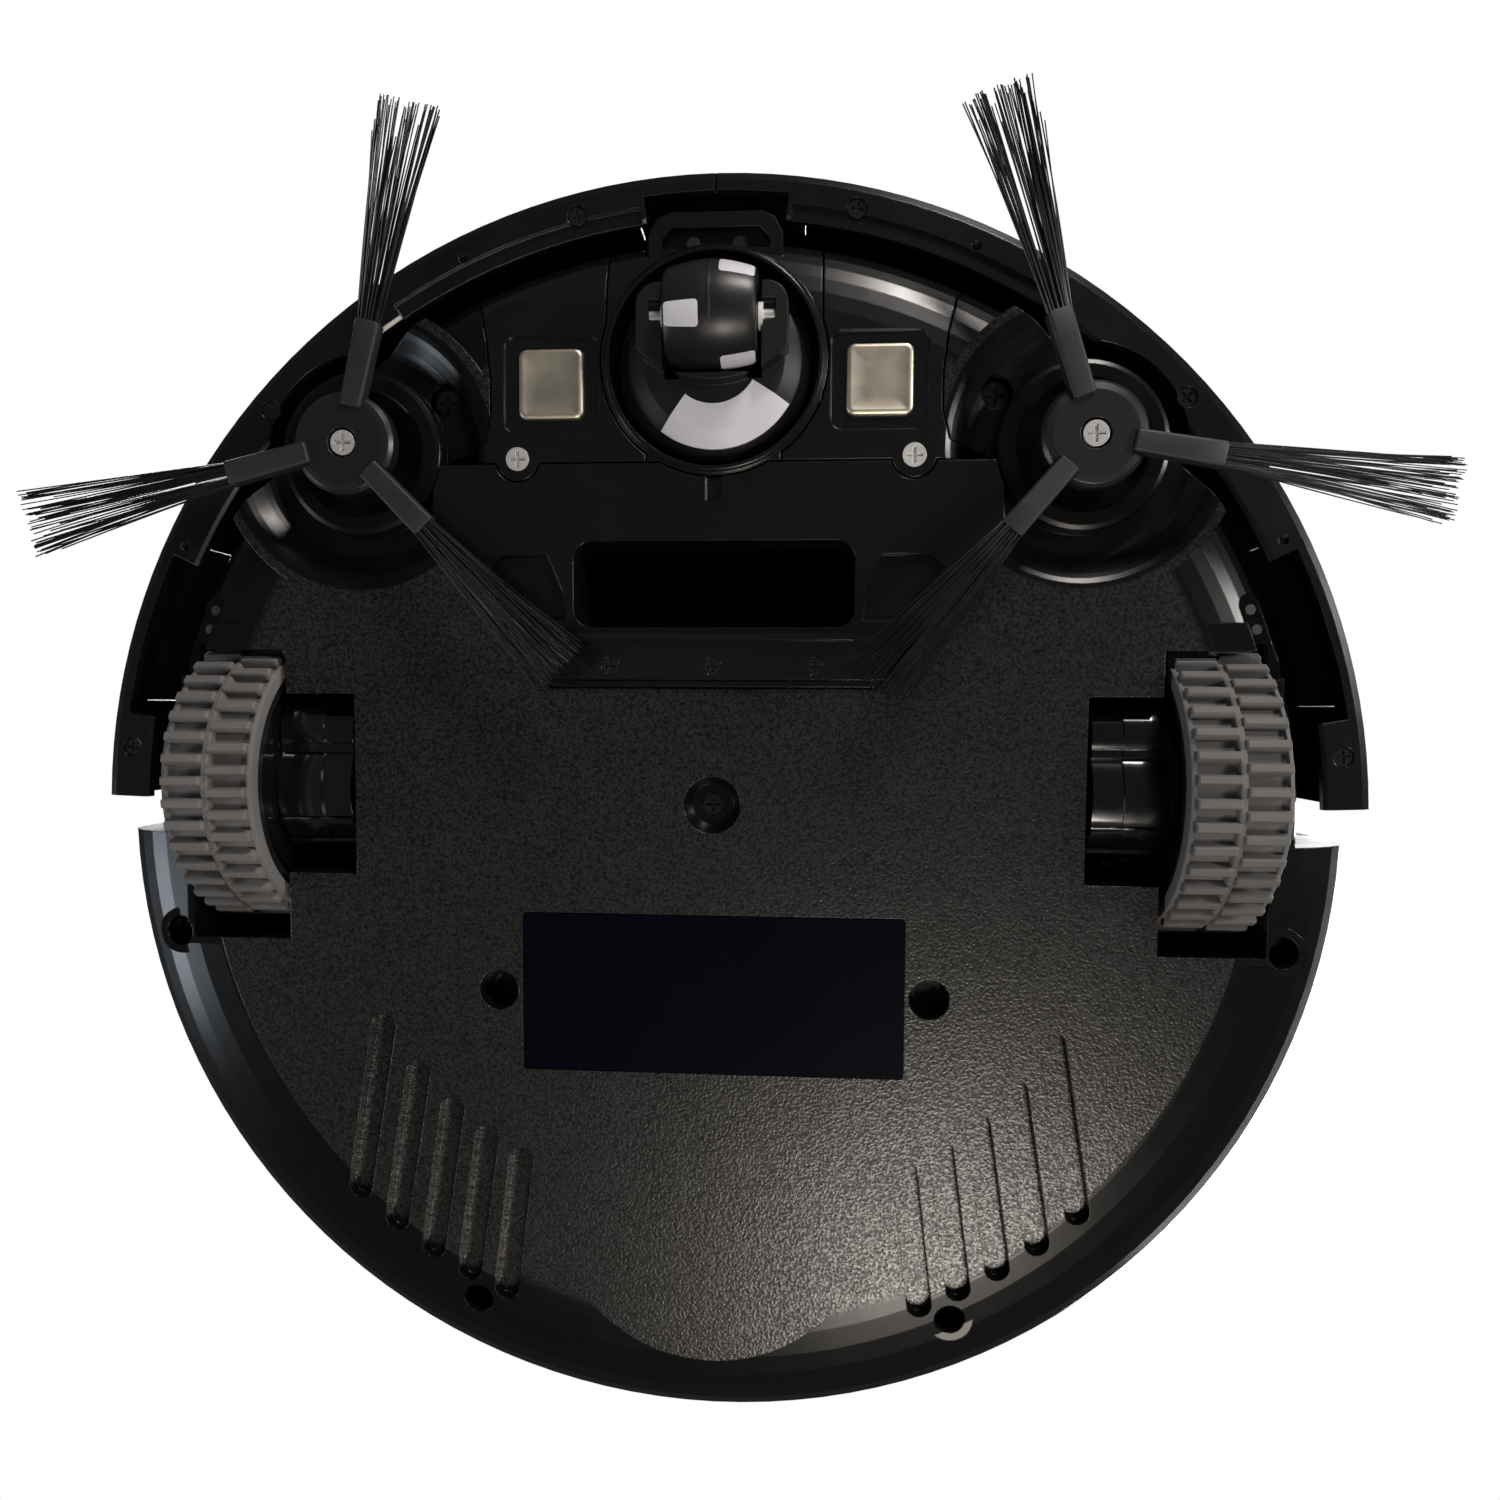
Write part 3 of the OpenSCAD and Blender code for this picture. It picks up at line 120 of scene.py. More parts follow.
def add_world():
    """White to the camera, and a dim room for light and reflections."""
    world = bpy.data.worlds.new("studio")
    world.use_nodes = True
    bpy.context.scene.world = world
    nodes, links = world.node_tree.nodes, world.node_tree.links
    nodes.clear()
    out = nodes.new("ShaderNodeOutputWorld")
    mix = nodes.new("ShaderNodeMixShader")
    path = nodes.new("ShaderNodeLightPath")
    backdrop = nodes.new("ShaderNodeBackground")
    backdrop.inputs["Color"].default_value = (1, 1, 1, 1)
    backdrop.inputs["Strength"].default_value = 1.0
    room = nodes.new("ShaderNodeBackground")
    room.inputs["Color"].default_value = ROOM_COLOUR
    room.inputs["Strength"].default_value = ROOM_STRENGTH
    links.new(path.outputs["Is Camera Ray"], mix.inputs[0])
    links.new(room.outputs[0], mix.inputs[1])
    links.new(backdrop.outputs[0], mix.inputs[2])
    links.new(mix.outputs[0], out.inputs[0])


def floor_material():
    """Pale from above, clear from below so that it doesn't hide the underside, and fading with distance."""
    material = bpy.data.materials.new("floor")
    material.use_nodes = True
    nodes, links = material.node_tree.nodes, material.node_tree.links
    shader = nodes["Principled BSDF"]
    shader.inputs["Base Color"].default_value = FLOOR_COLOUR
    shader.inputs["Roughness"].default_value = FLOOR_ROUGHNESS
    clear = nodes.new("ShaderNodeBsdfTransparent")
    side = nodes.new("ShaderNodeNewGeometry")
    place = nodes.new("ShaderNodeTexCoord")
    distance = nodes.new("ShaderNodeVectorMath")
    distance.operation = "LENGTH"
    fade = nodes.new("ShaderNodeMapRange")
    fade.interpolation_type = "SMOOTHSTEP"
    fade.inputs["From Min"].default_value = FADE_START
    fade.inputs["From Max"].default_value = FADE_END
    clearness = nodes.new("ShaderNodeMath")
    clearness.operation = "MAXIMUM"
    mix = nodes.new("ShaderNodeMixShader")
    links.new(place.outputs["Object"], distance.inputs[0])
    links.new(distance.outputs["Value"], fade.inputs["Value"])
    links.new(fade.outputs["Result"], clearness.inputs[0])
    links.new(side.outputs["Backfacing"], clearness.inputs[1])
    links.new(clearness.outputs[0], mix.inputs[0])
    links.new(shader.outputs[0], mix.inputs[1])
    links.new(clear.outputs[0], mix.inputs[2])
    links.new(mix.outputs[0], nodes["Material Output"].inputs[0])
    return material


def add_floor():
    """A disc that only the camera sees: it casts no shadow and sends no light to the machine."""
    bm = bmesh.new()
    bmesh.ops.create_circle(bm, cap_ends=True, segments=96, radius=FLOOR_RADIUS)
    mesh = bpy.data.meshes.new("floor")
    bm.to_mesh(mesh)
    bm.free()
    mesh.materials.append(floor_material())
    floor = bpy.data.objects.new("floor", mesh)
    bpy.context.scene.collection.objects.link(floor)
    floor.visible_diffuse = False
    floor.visible_glossy = False
    floor.visible_transmission = False
    floor.visible_shadow = False


# ---------- shading tools ----------

# Most of a noise texture lies between these two values.
NOISE_LOW, NOISE_HIGH = 0.3, 0.7
# Places of the colour sockets on a Mix node.
COLOUR_A, COLOUR_B, COLOUR_OUT = 6, 7, 2
BEVEL_SAMPLES = 4


class Shading:
    """A Principled material with its helper nodes. Values whose names end in _mm are millimetres."""

    def __init__(self, name, colour, roughness, **constants):
        self.material = bpy.data.materials.new(name)
        self.material.use_nodes = True
        self.nodes = self.material.node_tree.nodes
        self.links = self.material.node_tree.links
        self.shader = self.nodes["Principled BSDF"]
        self.colour, self.roughness = colour, roughness
        self.shader.inputs["Base Color"].default_value = (*colour, 1)
        self.shader.inputs["Roughness"].default_value = roughness
        for key, value in constants.items():
            self.shader.inputs[key.replace("_", " ")].default_value = value
        self.coordinates = self.add("ShaderNodeTexCoord")
        self.place = self.coordinates.outputs["Object"]
        self.normal = None

    def add(self, kind, **settings):
        made = self.nodes.new(kind)
        for key, value in settings.items():
            setattr(made, key, value)
        return made

    def feed(self, socket, value):
        """Drives one socket of the Principled shader."""
        self.links.new(value, self.shader.inputs[socket])

    def noise(self, size_mm, detail):
        made = self.add("ShaderNodeTexNoise")
        made.inputs["Scale"].default_value = 1 / (size_mm * MM)
        made.inputs["Detail"].default_value = detail
        self.links.new(self.place, made.inputs["Vector"])
        return made.outputs["Fac"]

    def height_of(self, vector):
        """The Z value of a vector."""
        made = self.add("ShaderNodeSeparateXYZ")
        self.links.new(vector, made.inputs[0])
        return made.outputs["Z"]

    def remap(self, value, low, high, to_low, to_high):
        made = self.add("ShaderNodeMapRange")
        numbers = {"From Min": low, "From Max": high, "To Min": to_low, "To Max": to_high}
        for socket, number in numbers.items():
            made.inputs[socket].default_value = number
        self.links.new(value, made.inputs["Value"])
        return made.outputs["Result"]

    def drift(self, size_mm, detail, to_low, to_high):
        """A noise that wanders between two values."""
        return self.remap(self.noise(size_mm, detail), NOISE_LOW, NOISE_HIGH, to_low, to_high)

    def maths(self, operation, a, b=0):
        made = self.add("ShaderNodeMath", operation=operation)
        for socket, value in zip(made.inputs, (a, b)):
            if isinstance(value, (int, float)):
                socket.default_value = value
            else:
                self.links.new(value, socket)
        return made.outputs[0]

    def mix_colour(self, share, a, b):
        made = self.add("ShaderNodeMix", data_type="RGBA")
        made.inputs[COLOUR_A].default_value = (*a, 1)
        made.inputs[COLOUR_B].default_value = (*b, 1)
        self.links.new(share, made.inputs[0])
        return made.outputs[COLOUR_OUT]

    def vary_colour(self, size_mm, amount):
        """Slow drift of the colour, a little darker and lighter than the base."""
        darker = [c * (1 - amount) for c in self.colour]
        lighter = [min(1, c * (1 + amount)) for c in self.colour]
        self.feed("Base Color", self.mix_colour(self.drift(size_mm, 3, 0, 1), darker, lighter))

    def vary_roughness(self, size_mm, amount):
        self.feed("Roughness", self.drift(size_mm, 3, self.roughness - amount, self.roughness + amount))

    def round_edges(self, radius_mm):
        made = self.add("ShaderNodeBevel", samples=BEVEL_SAMPLES)
        made.inputs["Radius"].default_value = radius_mm * MM
        self.normal = made.outputs["Normal"]
        self.feed("Normal", self.normal)

    def bump(self, height, depth_mm):
        """Bumps on top of the rounded edges."""
        made = self.add("ShaderNodeBump")
        made.inputs["Strength"].default_value = 1.0
        made.inputs["Distance"].default_value = depth_mm * MM
        self.links.new(height, made.inputs["Height"])
        self.links.new(self.normal, made.inputs["Normal"])
        self.normal = made.outputs["Normal"]
        self.feed("Normal", self.normal)


# ---------- materials ----------

FLAT_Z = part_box("bottom_chassis")[0].z
SLOT_FLOOR_Z = FLAT_Z + 3.2 * MM
# A face is grained fully within the first distance of either height, and not at all past the second.
GRAIN_NEAR, GRAIN_FAR = 0.02 * MM, 0.12 * MM
# Z of the normal on a face that is too sloped to be grained, and on one that is level.
SLOPED, LEVEL = -0.985, -0.999
# Size of the speckle in millimetres, and the noise values at which it is all dark and all light.
SPECKLE_MM, SPECKLE_DARK, SPECKLE_LIGHT = 0.6, 0.32, 0.68


def plastic(name, colour, roughness, grain_mm=0.6, depth_mm=0.02, edge_mm=0.25, drift=0.04, **constants):
    """A plain material with a fine grain, softened edges and a slight drift of colour and roughness."""
    look = Shading(name, colour, roughness, **constants)
    look.vary_colour(size_mm=30, amount=0.15)
    look.vary_roughness(size_mm=5, amount=drift)
    look.round_edges(edge_mm)
    look.bump(look.noise(grain_mm, detail=2), depth_mm)
    return look.material


def satin_black(name, colour, roughness, **constants):
    """Smooth moulded black, with edges that catch the light."""
    return plastic(name, colour, roughness, depth_mm=0.003, edge_mm=0.4, drift=0.015, **constants)


def moulded_black():
    """The chassis: speckled on its flat face and on the slots' floors, and smooth on slopes and walls."""
    look = Shading("moulded_black", (0.0042, 0.0041, 0.004), 0.3)
    look.round_edges(radius_mm=0.35)
    height = look.height_of(look.place)
    from_slot_floor = look.maths("ABSOLUTE", look.maths("SUBTRACT", height, SLOT_FLOOR_Z))
    on_flat = look.remap(height, FLAT_Z + GRAIN_NEAR, FLAT_Z + GRAIN_FAR, 1, 0)
    on_slot_floor = look.remap(from_slot_floor, GRAIN_NEAR, GRAIN_FAR, 1, 0)
    level = look.remap(look.height_of(look.coordinates.outputs["Normal"]), SLOPED, LEVEL, 0, 1)
    grained = look.maths("MULTIPLY", level, look.maths("MAXIMUM", on_flat, on_slot_floor))
    spots = look.remap(look.noise(SPECKLE_MM, 1), SPECKLE_DARK, SPECKLE_LIGHT, 0, 1)
    speckle = look.maths("MULTIPLY", grained, spots)
    extra_roughness = look.maths("MULTIPLY", grained, look.remap(speckle, 0, 1, 0.08, -0.02))
    look.feed("Base Color", look.mix_colour(speckle, (0.003, 0.003, 0.003), (0.019, 0.018, 0.017)))
    look.feed("Roughness", look.maths("ADD", extra_roughness, look.drift(6, 3, 0.25, 0.28)))
    look.feed("Specular IOR Level", look.remap(speckle, 0, 1, 0.26, 0.72))
    look.bump(speckle, depth_mm=0.03)
    return look.material


def smoked(name, alpha):
    """Smoke-tinted plastic that lets a little of what lies behind it through."""
    look = Shading(name, (0.006, 0.0055, 0.005), 0.1, Alpha=alpha)
    look.vary_roughness(size_mm=4, amount=0.03)
    look.round_edges(radius_mm=0.2)
    return look.material


BLACK = moulded_black()
SATIN = satin_black("satin_black", (0.0036, 0.0036, 0.004), 0.24)
# The intake duct is made near-black with weak reflections, darker than its own grey plastic: painted shade
# for the dark inside of the inlet.
DUCT_PAINTED_SHADE = satin_black("duct_black_painted_shade", (0.002, 0.002, 0.002), 0.6, Specular_IOR_Level=0.15)
HOUSING = satin_black("housing_black", (0.0085, 0.0085, 0.009), 0.36)
GLOSS = plastic("gloss_black", (0.004, 0.004, 0.0045), 0.13, grain_mm=3, depth_mm=0.004, edge_mm=0.3,
                drift=0.02, Coat_Weight=0.4, Coat_Roughness=0.06)
TYRE = plastic("tyre_grey", (0.125, 0.119, 0.117), 0.72, grain_mm=0.3, depth_mm=0.03, edge_mm=0.3)
RUBBER = plastic("clamp_rubber", (0.013, 0.013, 0.0125), 0.55, grain_mm=0.3, depth_mm=0.012, edge_mm=0.4)
NYLON = plastic("bristle_nylon", (0.003, 0.003, 0.003), 0.33, grain_mm=2, depth_mm=0.005, edge_mm=0.05)
STEEL = plastic("bright_steel", (0.62, 0.61, 0.6), 0.38, grain_mm=0.4, depth_mm=0.008, edge_mm=0.15,
                Metallic=0.55)
BLACK_STEEL = plastic("black_steel", (0.02, 0.02, 0.022), 0.3, grain_mm=0.4, depth_mm=0.01, edge_mm=0.15,
                      Metallic=0.6)
NICKEL = plastic("contact_nickel", (0.62, 0.56, 0.45), 0.42, grain_mm=0.3, depth_mm=0.006, edge_mm=0.5,
                 Metallic=1.0)
SMOKE = smoked("smoked_lens", 0.98)
CLEAR_SMOKE = smoked("clear_smoke", 0.45)
WHITE = plastic("white_plastic", (0.72, 0.71, 0.73), 0.5, grain_mm=0.5, depth_mm=0.01)
STICKER = plastic("white_sticker", (0.66, 0.64, 0.70), 0.45, depth_mm=0.004, edge_mm=0.1)
LABEL = plastic("dark_label", (0.0012, 0.0013, 0.0038), 0.4, grain_mm=4, depth_mm=0.0005, edge_mm=0.15,
                drift=0.01, Specular_IOR_Level=0.03)
GREY = plastic("grey_plastic", (0.02, 0.02, 0.021), 0.45, grain_mm=0.5, depth_mm=0.015)
BOARD = plastic("board_green", (0.02, 0.12, 0.05), 0.4, grain_mm=1)
WRAP = plastic("battery_wrap", (0.03, 0.07, 0.22), 0.25, grain_mm=6, depth_mm=0.03)
GUIDE = plastic("light_guide", (0.55, 0.6, 0.66), 0.3, grain_mm=3, depth_mm=0.01)

SLOT_LOOKS = {
    "black_abs": BLACK, "housing_black": HOUSING, "gloss_black": GLOSS, "grey_plastic": GREY,
    "white_plastic": WHITE, "tyre_grey": TYRE, "clamp_rubber": RUBBER, "bristle_nylon": NYLON,
    "bright_steel": STEEL, "black_steel": BLACK_STEEL, "contact_nickel": NICKEL, "smoked_lens": SMOKE,
    "light_guide": GUIDE, "white_sticker": STICKER, "dark_label": LABEL, "board_green": BOARD,
    "battery_wrap": WRAP,
}

# Nodes whose look differs from the rest of their material slot.
NODE_LOOKS = {
    "bumper_shell": SATIN, "caster_socket": SATIN, "front_cover_left": SATIN, "front_cover_right": SATIN,
    "inlet_cover": SATIN, "inlet_blade": GLOSS, "intake_duct": DUCT_PAINTED_SHADE,
    "front_cliff_window": CLEAR_SMOKE, "side_cliff_windows": CLEAR_SMOKE,
}

# Edges that turn by more than this many degrees stay sharp.
CAD_CREASE, PIECE_CREASE = 28, 30


def shade_smooth(mesh, crease):
    for polygon in mesh.polygons:
        polygon.use_smooth = True
    mesh.set_sharp_from_angle(angle=math.radians(crease))


def dress_cad_nodes():
    slots = {row["node"]: row["material_slot"] for row in frame["record"]["subparts"]}
    for name, obj in frame["nodes"].items():
        obj.data.materials.clear()
        obj.data.materials.append(NODE_LOOKS.get(name, SLOT_LOOKS[slots[name]]))
        shade_smooth(obj.data, CAD_CREASE)


# ---------- mesh tools ----------

def add_piece(name, shape, look, body, stands_for=()):
    """Makes a shape into a piece that rides on a body, with its faces turned outward."""
    mesh = bpy.data.meshes.new(name)
    mesh.from_pydata([tuple(p) for p in shape.points], [], shape.faces)
    bm = bmesh.new()
    bm.from_mesh(mesh)
    bmesh.ops.recalc_face_normals(bm, faces=bm.faces)
    bm.to_mesh(mesh)
    bm.free()
    mesh.materials.append(look)
    shade_smooth(mesh, PIECE_CREASE)
    obj = bpy.data.objects.new(name, mesh)
    bpy.context.scene.collection.objects.link(obj)
    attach(obj, body)
    if stands_for:
        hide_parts(*stands_for)


class Shape:
    """Collects points and faces of several closed solids for one mesh."""

    def __init__(self):
        self.points, self.faces = [], []

    def loft(self, rings, closed=False):
        """Skin between rings of equally many points; an open loft gets a cap at each end."""
        base, count = len(self.points), len(rings[0])
        for ring in rings:
            self.points.extend(Vector(p) for p in ring)
        steps = len(rings) if closed else len(rings) - 1
        for i in range(steps):
            a, b = base + i * count, base + (i + 1) % len(rings) * count
            for k in range(count):
                j = (k + 1) % count
                self.faces.append((a + k, a + j, b + j, b + k))
        if not closed:
            last = base + (len(rings) - 1) * count
            self.faces.append(tuple(range(base + count - 1, base - 1, -1)))
            self.faces.append(tuple(range(last, last + count)))

    def revolve(self, profile, place, segments):
        """Turns a closed profile of (radius, along) about an axis; place(radius, along, turn) is a point."""
        turns = [math.tau * i / segments for i in range(segments)]
        self.loft([[place(r, x, t) for r, x in profile] for t in turns], closed=True)


def rounded_outline(half_w, half_l, radius, steps):
    """Points round a rectangle with round corners, about the origin."""
    points = []
    for corner, (sign_x, sign_y) in enumerate([(1, 1), (-1, 1), (-1, -1), (1, -1)]):
        cx, cy = (half_w - radius) * sign_x, (half_l - radius) * sign_y
        for i in range(steps + 1):
            t = math.radians(90 * (corner + i / steps))
            points.append((cx + radius * math.cos(t), cy + radius * math.sin(t)))
    return points


# ---------- tyres ----------

LUGS = 42
# Where the first rib sits, as a part of the pitch.
FIRST_LUG = 0.26
# Depths under the tyre's outer radius: the floor between ribs, the middle ridge, the lips and the bore.
TREAD, RIDGE_DROP, LIP_DROP, BORE_DROP = 2.4 * MM, 0.9 * MM, 1.7 * MM, 5 * MM
LIP_WIDTH = 1.0 * MM
# Gaps at a rib's two ends, to the rim and to the middle of the tyre.
RIM_GAP, MIDDLE_GAP = 0.8 * MM, 0.5 * MM
# A rib's cross-section, as parts of the pitch and depths under the outer radius.
RIB_SECTION = [(-0.25, TREAD + 0.4 * MM), (-0.22, 1.0 * MM), (-0.185, 0.25 * MM), (-0.14, 0),
               (0.14, 0), (0.185, 0.25 * MM), (0.22, 1.0 * MM), (0.25, TREAD + 0.4 * MM)]
# A rib's rounded end, as distances from it and drops.
RIB_END = [(0, 0.35 * MM), (0.3 * MM, 0)]


def tyre_profile(radius, width):
    """Cross-section without the ribs, the same on both sides of the ridge. Small steps round its corners."""
    base, bore = radius - TREAD, radius - BORE_DROP
    ridge, lip = radius - RIDGE_DROP, radius - LIP_DROP
    middle = width / 2
    half = [(bore, 0.6 * MM), (bore + 0.6 * MM, 0), (lip - 0.8 * MM, 0), (lip - 0.2 * MM, 0.15 * MM),
            (lip, 0.5 * MM), (lip, LIP_WIDTH), (base, LIP_WIDTH + 0.3 * MM), (base, middle - 1.0 * MM),
            (ridge - 0.2 * MM, middle - 0.7 * MM), (ridge, middle - 0.45 * MM)]
    return half + [(r, width - x) for r, x in reversed(half)]


def add_tyre(side):
    """Ribbed rubber tyre: two staggered rows of ribs, a ridge between them and a smooth lip on each rim."""
    low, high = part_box("tyre_" + side)
    out = SIDES[side]
    hub = (low + high) / 2
    radius, width = (high.z - low.z) / 2, high.x - low.x
    inner_x = low.x if out > 0 else high.x

    def place(r, along, t):
        return Vector((inner_x + out * along, hub.y + r * math.cos(t), hub.z + r * math.sin(t)))

    shape = Shape()
    shape.revolve(tyre_profile(radius, width), place, segments=4 * LUGS)
    pitch, middle = math.tau / LUGS, width / 2
    rows = [(RIM_GAP, middle - MIDDLE_GAP), (middle + MIDDLE_GAP, width - RIM_GAP)]
    for row, (start, end) in enumerate(rows):
        stations = [(start + a, drop) for a, drop in RIB_END]
        stations += [(end - a, drop) for a, drop in reversed(RIB_END)]
        for i in range(LUGS):
            turn = (i + FIRST_LUG + row / 2) * pitch
            shape.loft([
                [place(radius - depth - drop, x, turn + part * pitch) for part, depth in RIB_SECTION]
                for x, drop in stations
            ])
    add_piece("tyre_ribs_" + side, shape, TYRE, "wheel_" + side, ["tyre_" + side])


# ---------- side brushes ----------

ARMS = 3
# How far each brush stands past the position in which one arm points to the front, in degrees.
LEAD = {"right": 15, "left": 19}
BRISTLES = 66
# Distances from the spindle: where bristles start inside the sleeve, and their longest reach.
ROOT_R, TIP_R = 21 * MM, 68 * MM
# Half widths of the tuft where it leaves the sleeve and at its tip.
TUFT_ROOT, FLARE = 2.1 * MM, 7 * MM
# Parts of the flare that a bristle takes: most stay inside it, and every 22nd strays to its edge.
FLARE_USED, STRAY_FLARE, STRAY_EVERY = 0.92, 1.5, 22
# One bristle in four is shorter, by up to this many millimetres.
SHORT_SHARE, SHORT_BY = 0.25, 7
# How much a bristle's start, end, reach and curl vary, in millimetres.
START_JITTER, END_JITTER, REACH_JITTER, CURL = 0.2, 0.6, 1.6, 0.28
# Ranges of a bristle's height in the sleeve, height at its tip and radius, in millimetres.
TOP_RANGE, TIP_RANGE, RADIUS_RANGE = (5.3, 6.9), (0.24, 0.45), (0.16, 0.2)
BRISTLE_SIDES, BRISTLE_STEPS = 5, 9
# How early a bristle drops to the floor and how late it spreads sideways, as powers of its length.
DROP_POWER, SPREAD_POWER = 0.8, 1.15
# The tip is thinner than the root by this part.
TIP_TAPER = 0.25

# A sleeve along its arm: distance from the spindle, half width, lowest and highest point, in millimetres.
SLEEVE = [(7.6, 2.0, 5.5, 8.2), (7.9, 2.3, 5.2, 8.5), (12, 2.4, 5.0, 8.5), (19, 2.5, 4.6, 7.9),
          (24.9, 2.6, 4.3, 7.6), (25.3, 2.4, 4.5, 7.4)]
SLEEVE_CORNER = 0.7


def arm_frames(side):
    """For each arm of a brush, a function from (along the arm, across it, height) to a point."""
    hub = centre("brush_screw_" + side)
    out = SIDES[side]
    for i in range(ARMS):
        t = math.radians(90 + LEAD[side] + 360 / ARMS * i)
        along, across = Vector((math.cos(t), math.sin(t), 0)), Vector((-math.sin(t), math.cos(t), 0))

        def place(a, c, z, along=along, across=across):
            p = along * a + across * c
            return Vector((hub.x + out * p.x, hub.y + p.y, z))

        yield place


def add_sleeves(side):
    """Rubber sleeves that hold the bristles, thicker at the hub and flatter at the tip."""
    shape = Shape()
    for place in arm_frames(side):
        rings = []
        for a, half_w, low, high in SLEEVE:
            outline = rounded_outline(half_w, (high - low) / 2, SLEEVE_CORNER, steps=4)
            rings.append([place(a * MM, c * MM, ((low + high) / 2 + h) * MM) for c, h in outline])
        shape.loft(rings)
    add_piece("brush_sleeves_" + side, shape, RUBBER, "brush_" + side,
              ["brush_clamps_" + side])


def add_bristle(shape, place, rng, flare_used):
    """One nylon bristle: it leaves the sleeve, drops towards the floor and spreads, with a slight curl."""
    share = rng.uniform(-1, 1)
    start = share * TUFT_ROOT + rng.uniform(-START_JITTER, START_JITTER) * MM
    end = share * FLARE * flare_used + rng.gauss(0, END_JITTER) * MM
    end = max(-FLARE, min(FLARE, end))
    reach = TIP_R - abs(rng.gauss(0, REACH_JITTER)) * MM
    if rng.random() < SHORT_SHARE:
        reach -= rng.uniform(0, SHORT_BY) * MM
    top = rng.uniform(*TOP_RANGE) * MM
    bottom = rng.uniform(*TIP_RANGE) * MM
    curl = rng.gauss(0, CURL) * MM
    radius = rng.uniform(*RADIUS_RANGE) * MM
    turns = [math.tau * k / BRISTLE_SIDES for k in range(BRISTLE_SIDES)]
    rings = []
    for i in range(BRISTLE_STEPS + 1):
        t = i / BRISTLE_STEPS
        a = ROOT_R + (reach - ROOT_R) * t
        c = start + (end - start) * t ** SPREAD_POWER + curl * math.sin(math.pi * t)
        z = top + (bottom - top) * t ** DROP_POWER
        r = radius * (1 - TIP_TAPER * t)
        rings.append([place(a, c + r * math.cos(turn), z + r * math.sin(turn)) for turn in turns])
    shape.loft(rings)


def add_bristles(side):
    rng = random.Random("bristles " + side)
    shape = Shape()
    for place in arm_frames(side):
        for i in range(BRISTLES):
            stray = STRAY_FLARE if i % STRAY_EVERY == 0 else 1
            add_bristle(shape, place, rng, FLARE_USED * stray)
    add_piece("brush_bristles_" + side, shape, NYLON, "brush_" + side,
              ["bristles_" + side])


# ---------- caster ----------

# The roller's radius at distances from its middle, in millimetres. The step next to 0 is the mould line.
BARREL = [(0, 11.0), (0.25, 11.0), (0.3, 10.93), (1.5, 10.93), (3, 10.78), (4.5, 10.52), (6, 10.2),
          (7.5, 9.82), (8.6, 9.5), (9.2, 9.2), (9.5, 8.7)]
# Its end, as radius and distance from the middle: rim, recess, boss and bore.
BARREL_END = [(6.4, 9.5), (6.0, 8.9), (3.2, 8.9), (3.0, 9.5), (1.6, 9.5)]

MARKS = 6
# The turn of the first mark from the roller's lowest line, in degrees.
FIRST_MARK = -16
# A mark's two ends along the axle, half its length round the roller and its corner radius, in millimetres.
MARK_INNER, MARK_OUTER, MARK_HALF, MARK_CORNER = 2.0, 9.1, 2.45, 0.7
# The mark's outer face above the roller and its inner face below it, in millimetres.
MARK_LIFT, MARK_SINK = 0.08, -0.25
# The roller's mean radius under a mark, which turns lengths round the roller into angles.
MARK_RADIUS = 10.3
MARK_STRIPS, MARK_COLUMNS = 14, 8


def barrel_radius(x):
    for (x0, r0), (x1, r1) in zip(BARREL, BARREL[1:]):
        if x <= x1:
            return r0 + (r1 - r0) * (x - x0) / (x1 - x0)
    return BARREL[-1][1]


def add_roller():
    """Barrel-shaped roller with a fine mould line, and the white marks that a sensor counts."""
    hub = centre("caster_wheel")

    def place(r, along, t):
        return Vector((hub.x + along * MM, hub.y + r * MM * math.sin(t), hub.z - r * MM * math.cos(t)))

    barrel = Shape()
    half = [(r, x) for x, r in BARREL] + BARREL_END
    barrel.revolve(half + [(r, -x) for r, x in reversed(half[1:])], place, segments=96)
    add_piece("caster_barrel", barrel, HOUSING, "caster_roller", ["caster_wheel"])
    marks = Shape()
    for i in range(MARKS):
        side = RIGHT if i % 2 == 0 else LEFT
        add_mark(marks, place, side, math.radians(FIRST_MARK + 360 / MARKS * i))
    add_piece("caster_marks", marks, STICKER, "caster_roller")


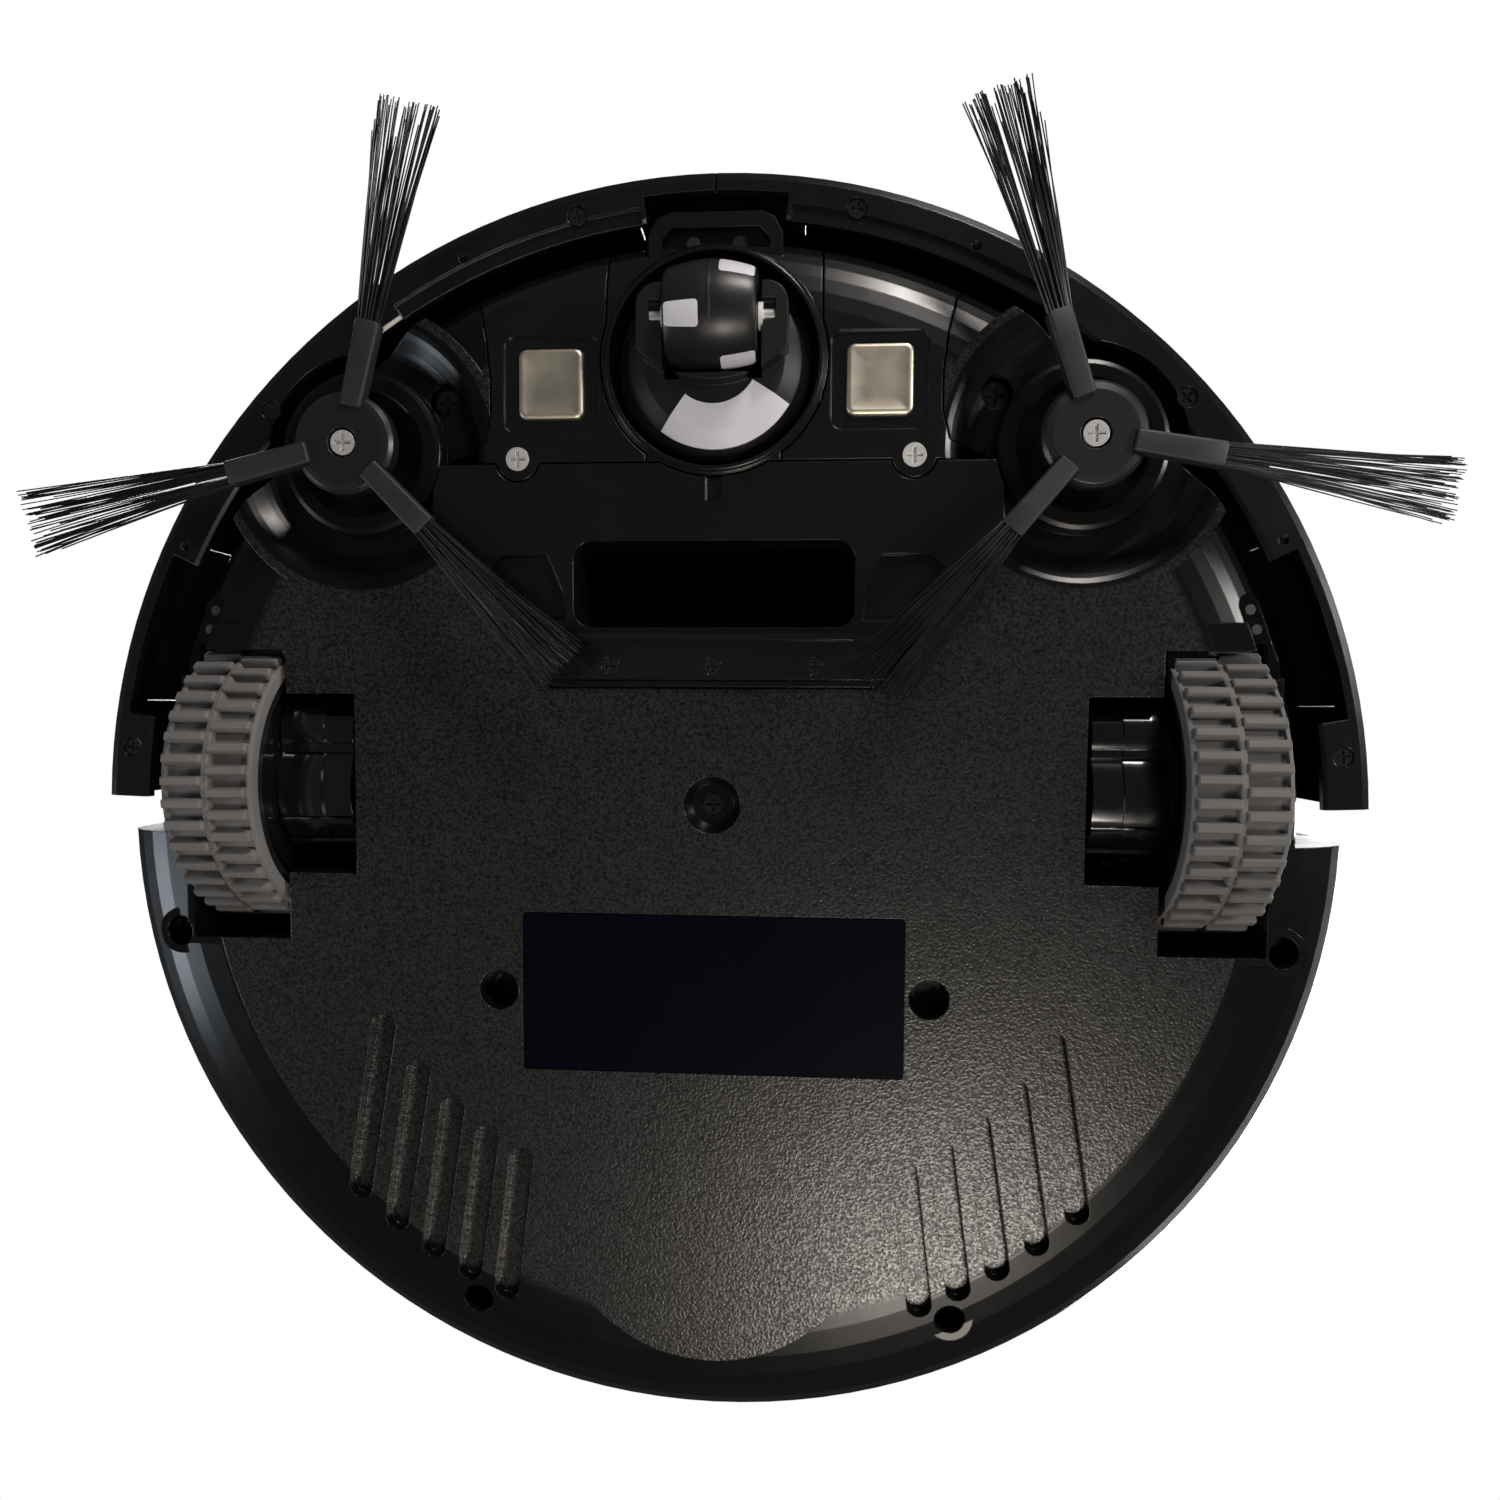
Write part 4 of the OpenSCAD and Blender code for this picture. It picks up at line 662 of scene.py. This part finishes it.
def add_mark(shape, place, side, turn):
    """White patch with round corners on one half of the roller, in strips that follow its curve."""
    def skin(x, arc, height):
        return place(barrel_radius(x) + height, side * x, turn + arc / MARK_RADIUS)

    rings = []
    for i in range(MARK_STRIPS + 1):
        x = MARK_INNER + (MARK_OUTER - MARK_INNER) * (0.5 - 0.5 * math.cos(math.pi * i / MARK_STRIPS))
        into_corner = max(0, MARK_CORNER - min(x - MARK_INNER, MARK_OUTER - x))
        half = MARK_HALF - MARK_CORNER + math.sqrt(max(0, MARK_CORNER ** 2 - into_corner ** 2))
        arcs = [half * (2 * k / MARK_COLUMNS - 1) for k in range(MARK_COLUMNS + 1)]
        outer = [skin(x, a, MARK_LIFT) for a in arcs]
        rings.append(outer + [skin(x, a, MARK_SINK) for a in reversed(arcs)])
    shape.loft(rings)


# ---------- charging contacts ----------

# A contact's width as a part of its length.
CONTACT_SHAPE = 14 / 14.8
# Its rolled edge, as insets and heights above its lowest face, in millimetres.
CONTACT_EDGE = [(0, 3.0), (0, 0.55), (0.12, 0.3), (0.45, 0.1), (0.85, 0), (1.05, 0.03), (1.25, 0.1),
                (4, 0.12)]
# Corner radius at the outer edge, how fast it shrinks with the inset, and its least value, in millimetres.
CONTACT_CORNER, CORNER_SHRINK, CORNER_LEAST = 1.7, 0.9, 0.3


def add_contacts():
    """Warm nickel plates with a rolled edge, a little proud of the covers."""
    low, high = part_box("contact_plates")
    half_l = (high.y - low.y) / 2
    half_w = half_l * CONTACT_SHAPE
    y = (low.y + high.y) / 2
    shape = Shape()
    for side in SIDES.values():
        x = side * (high.x - half_w)
        rings = []
        for inset, height in CONTACT_EDGE:
            corner = max(CORNER_LEAST, CONTACT_CORNER - inset * CORNER_SHRINK) * MM
            outline = rounded_outline(half_w - inset * MM, half_l - inset * MM, corner, steps=6)
            rings.append([(x + px, y + py, low.z + height * MM) for px, py in outline])
        shape.loft(rings)
    add_piece("contact_pads", shape, NICKEL, "chassis", ["contact_plates"])


# ---------- the scene ----------

add_camera()
add_world()
add_floor()
dress_cad_nodes()
for side in SIDES:
    add_tyre(side)
    add_sleeves(side)
    add_bristles(side)
add_roller()
add_contacts()
for light in LIGHTS:
    add_light(*light)
bpy.context.scene.view_settings.view_transform = "Standard"
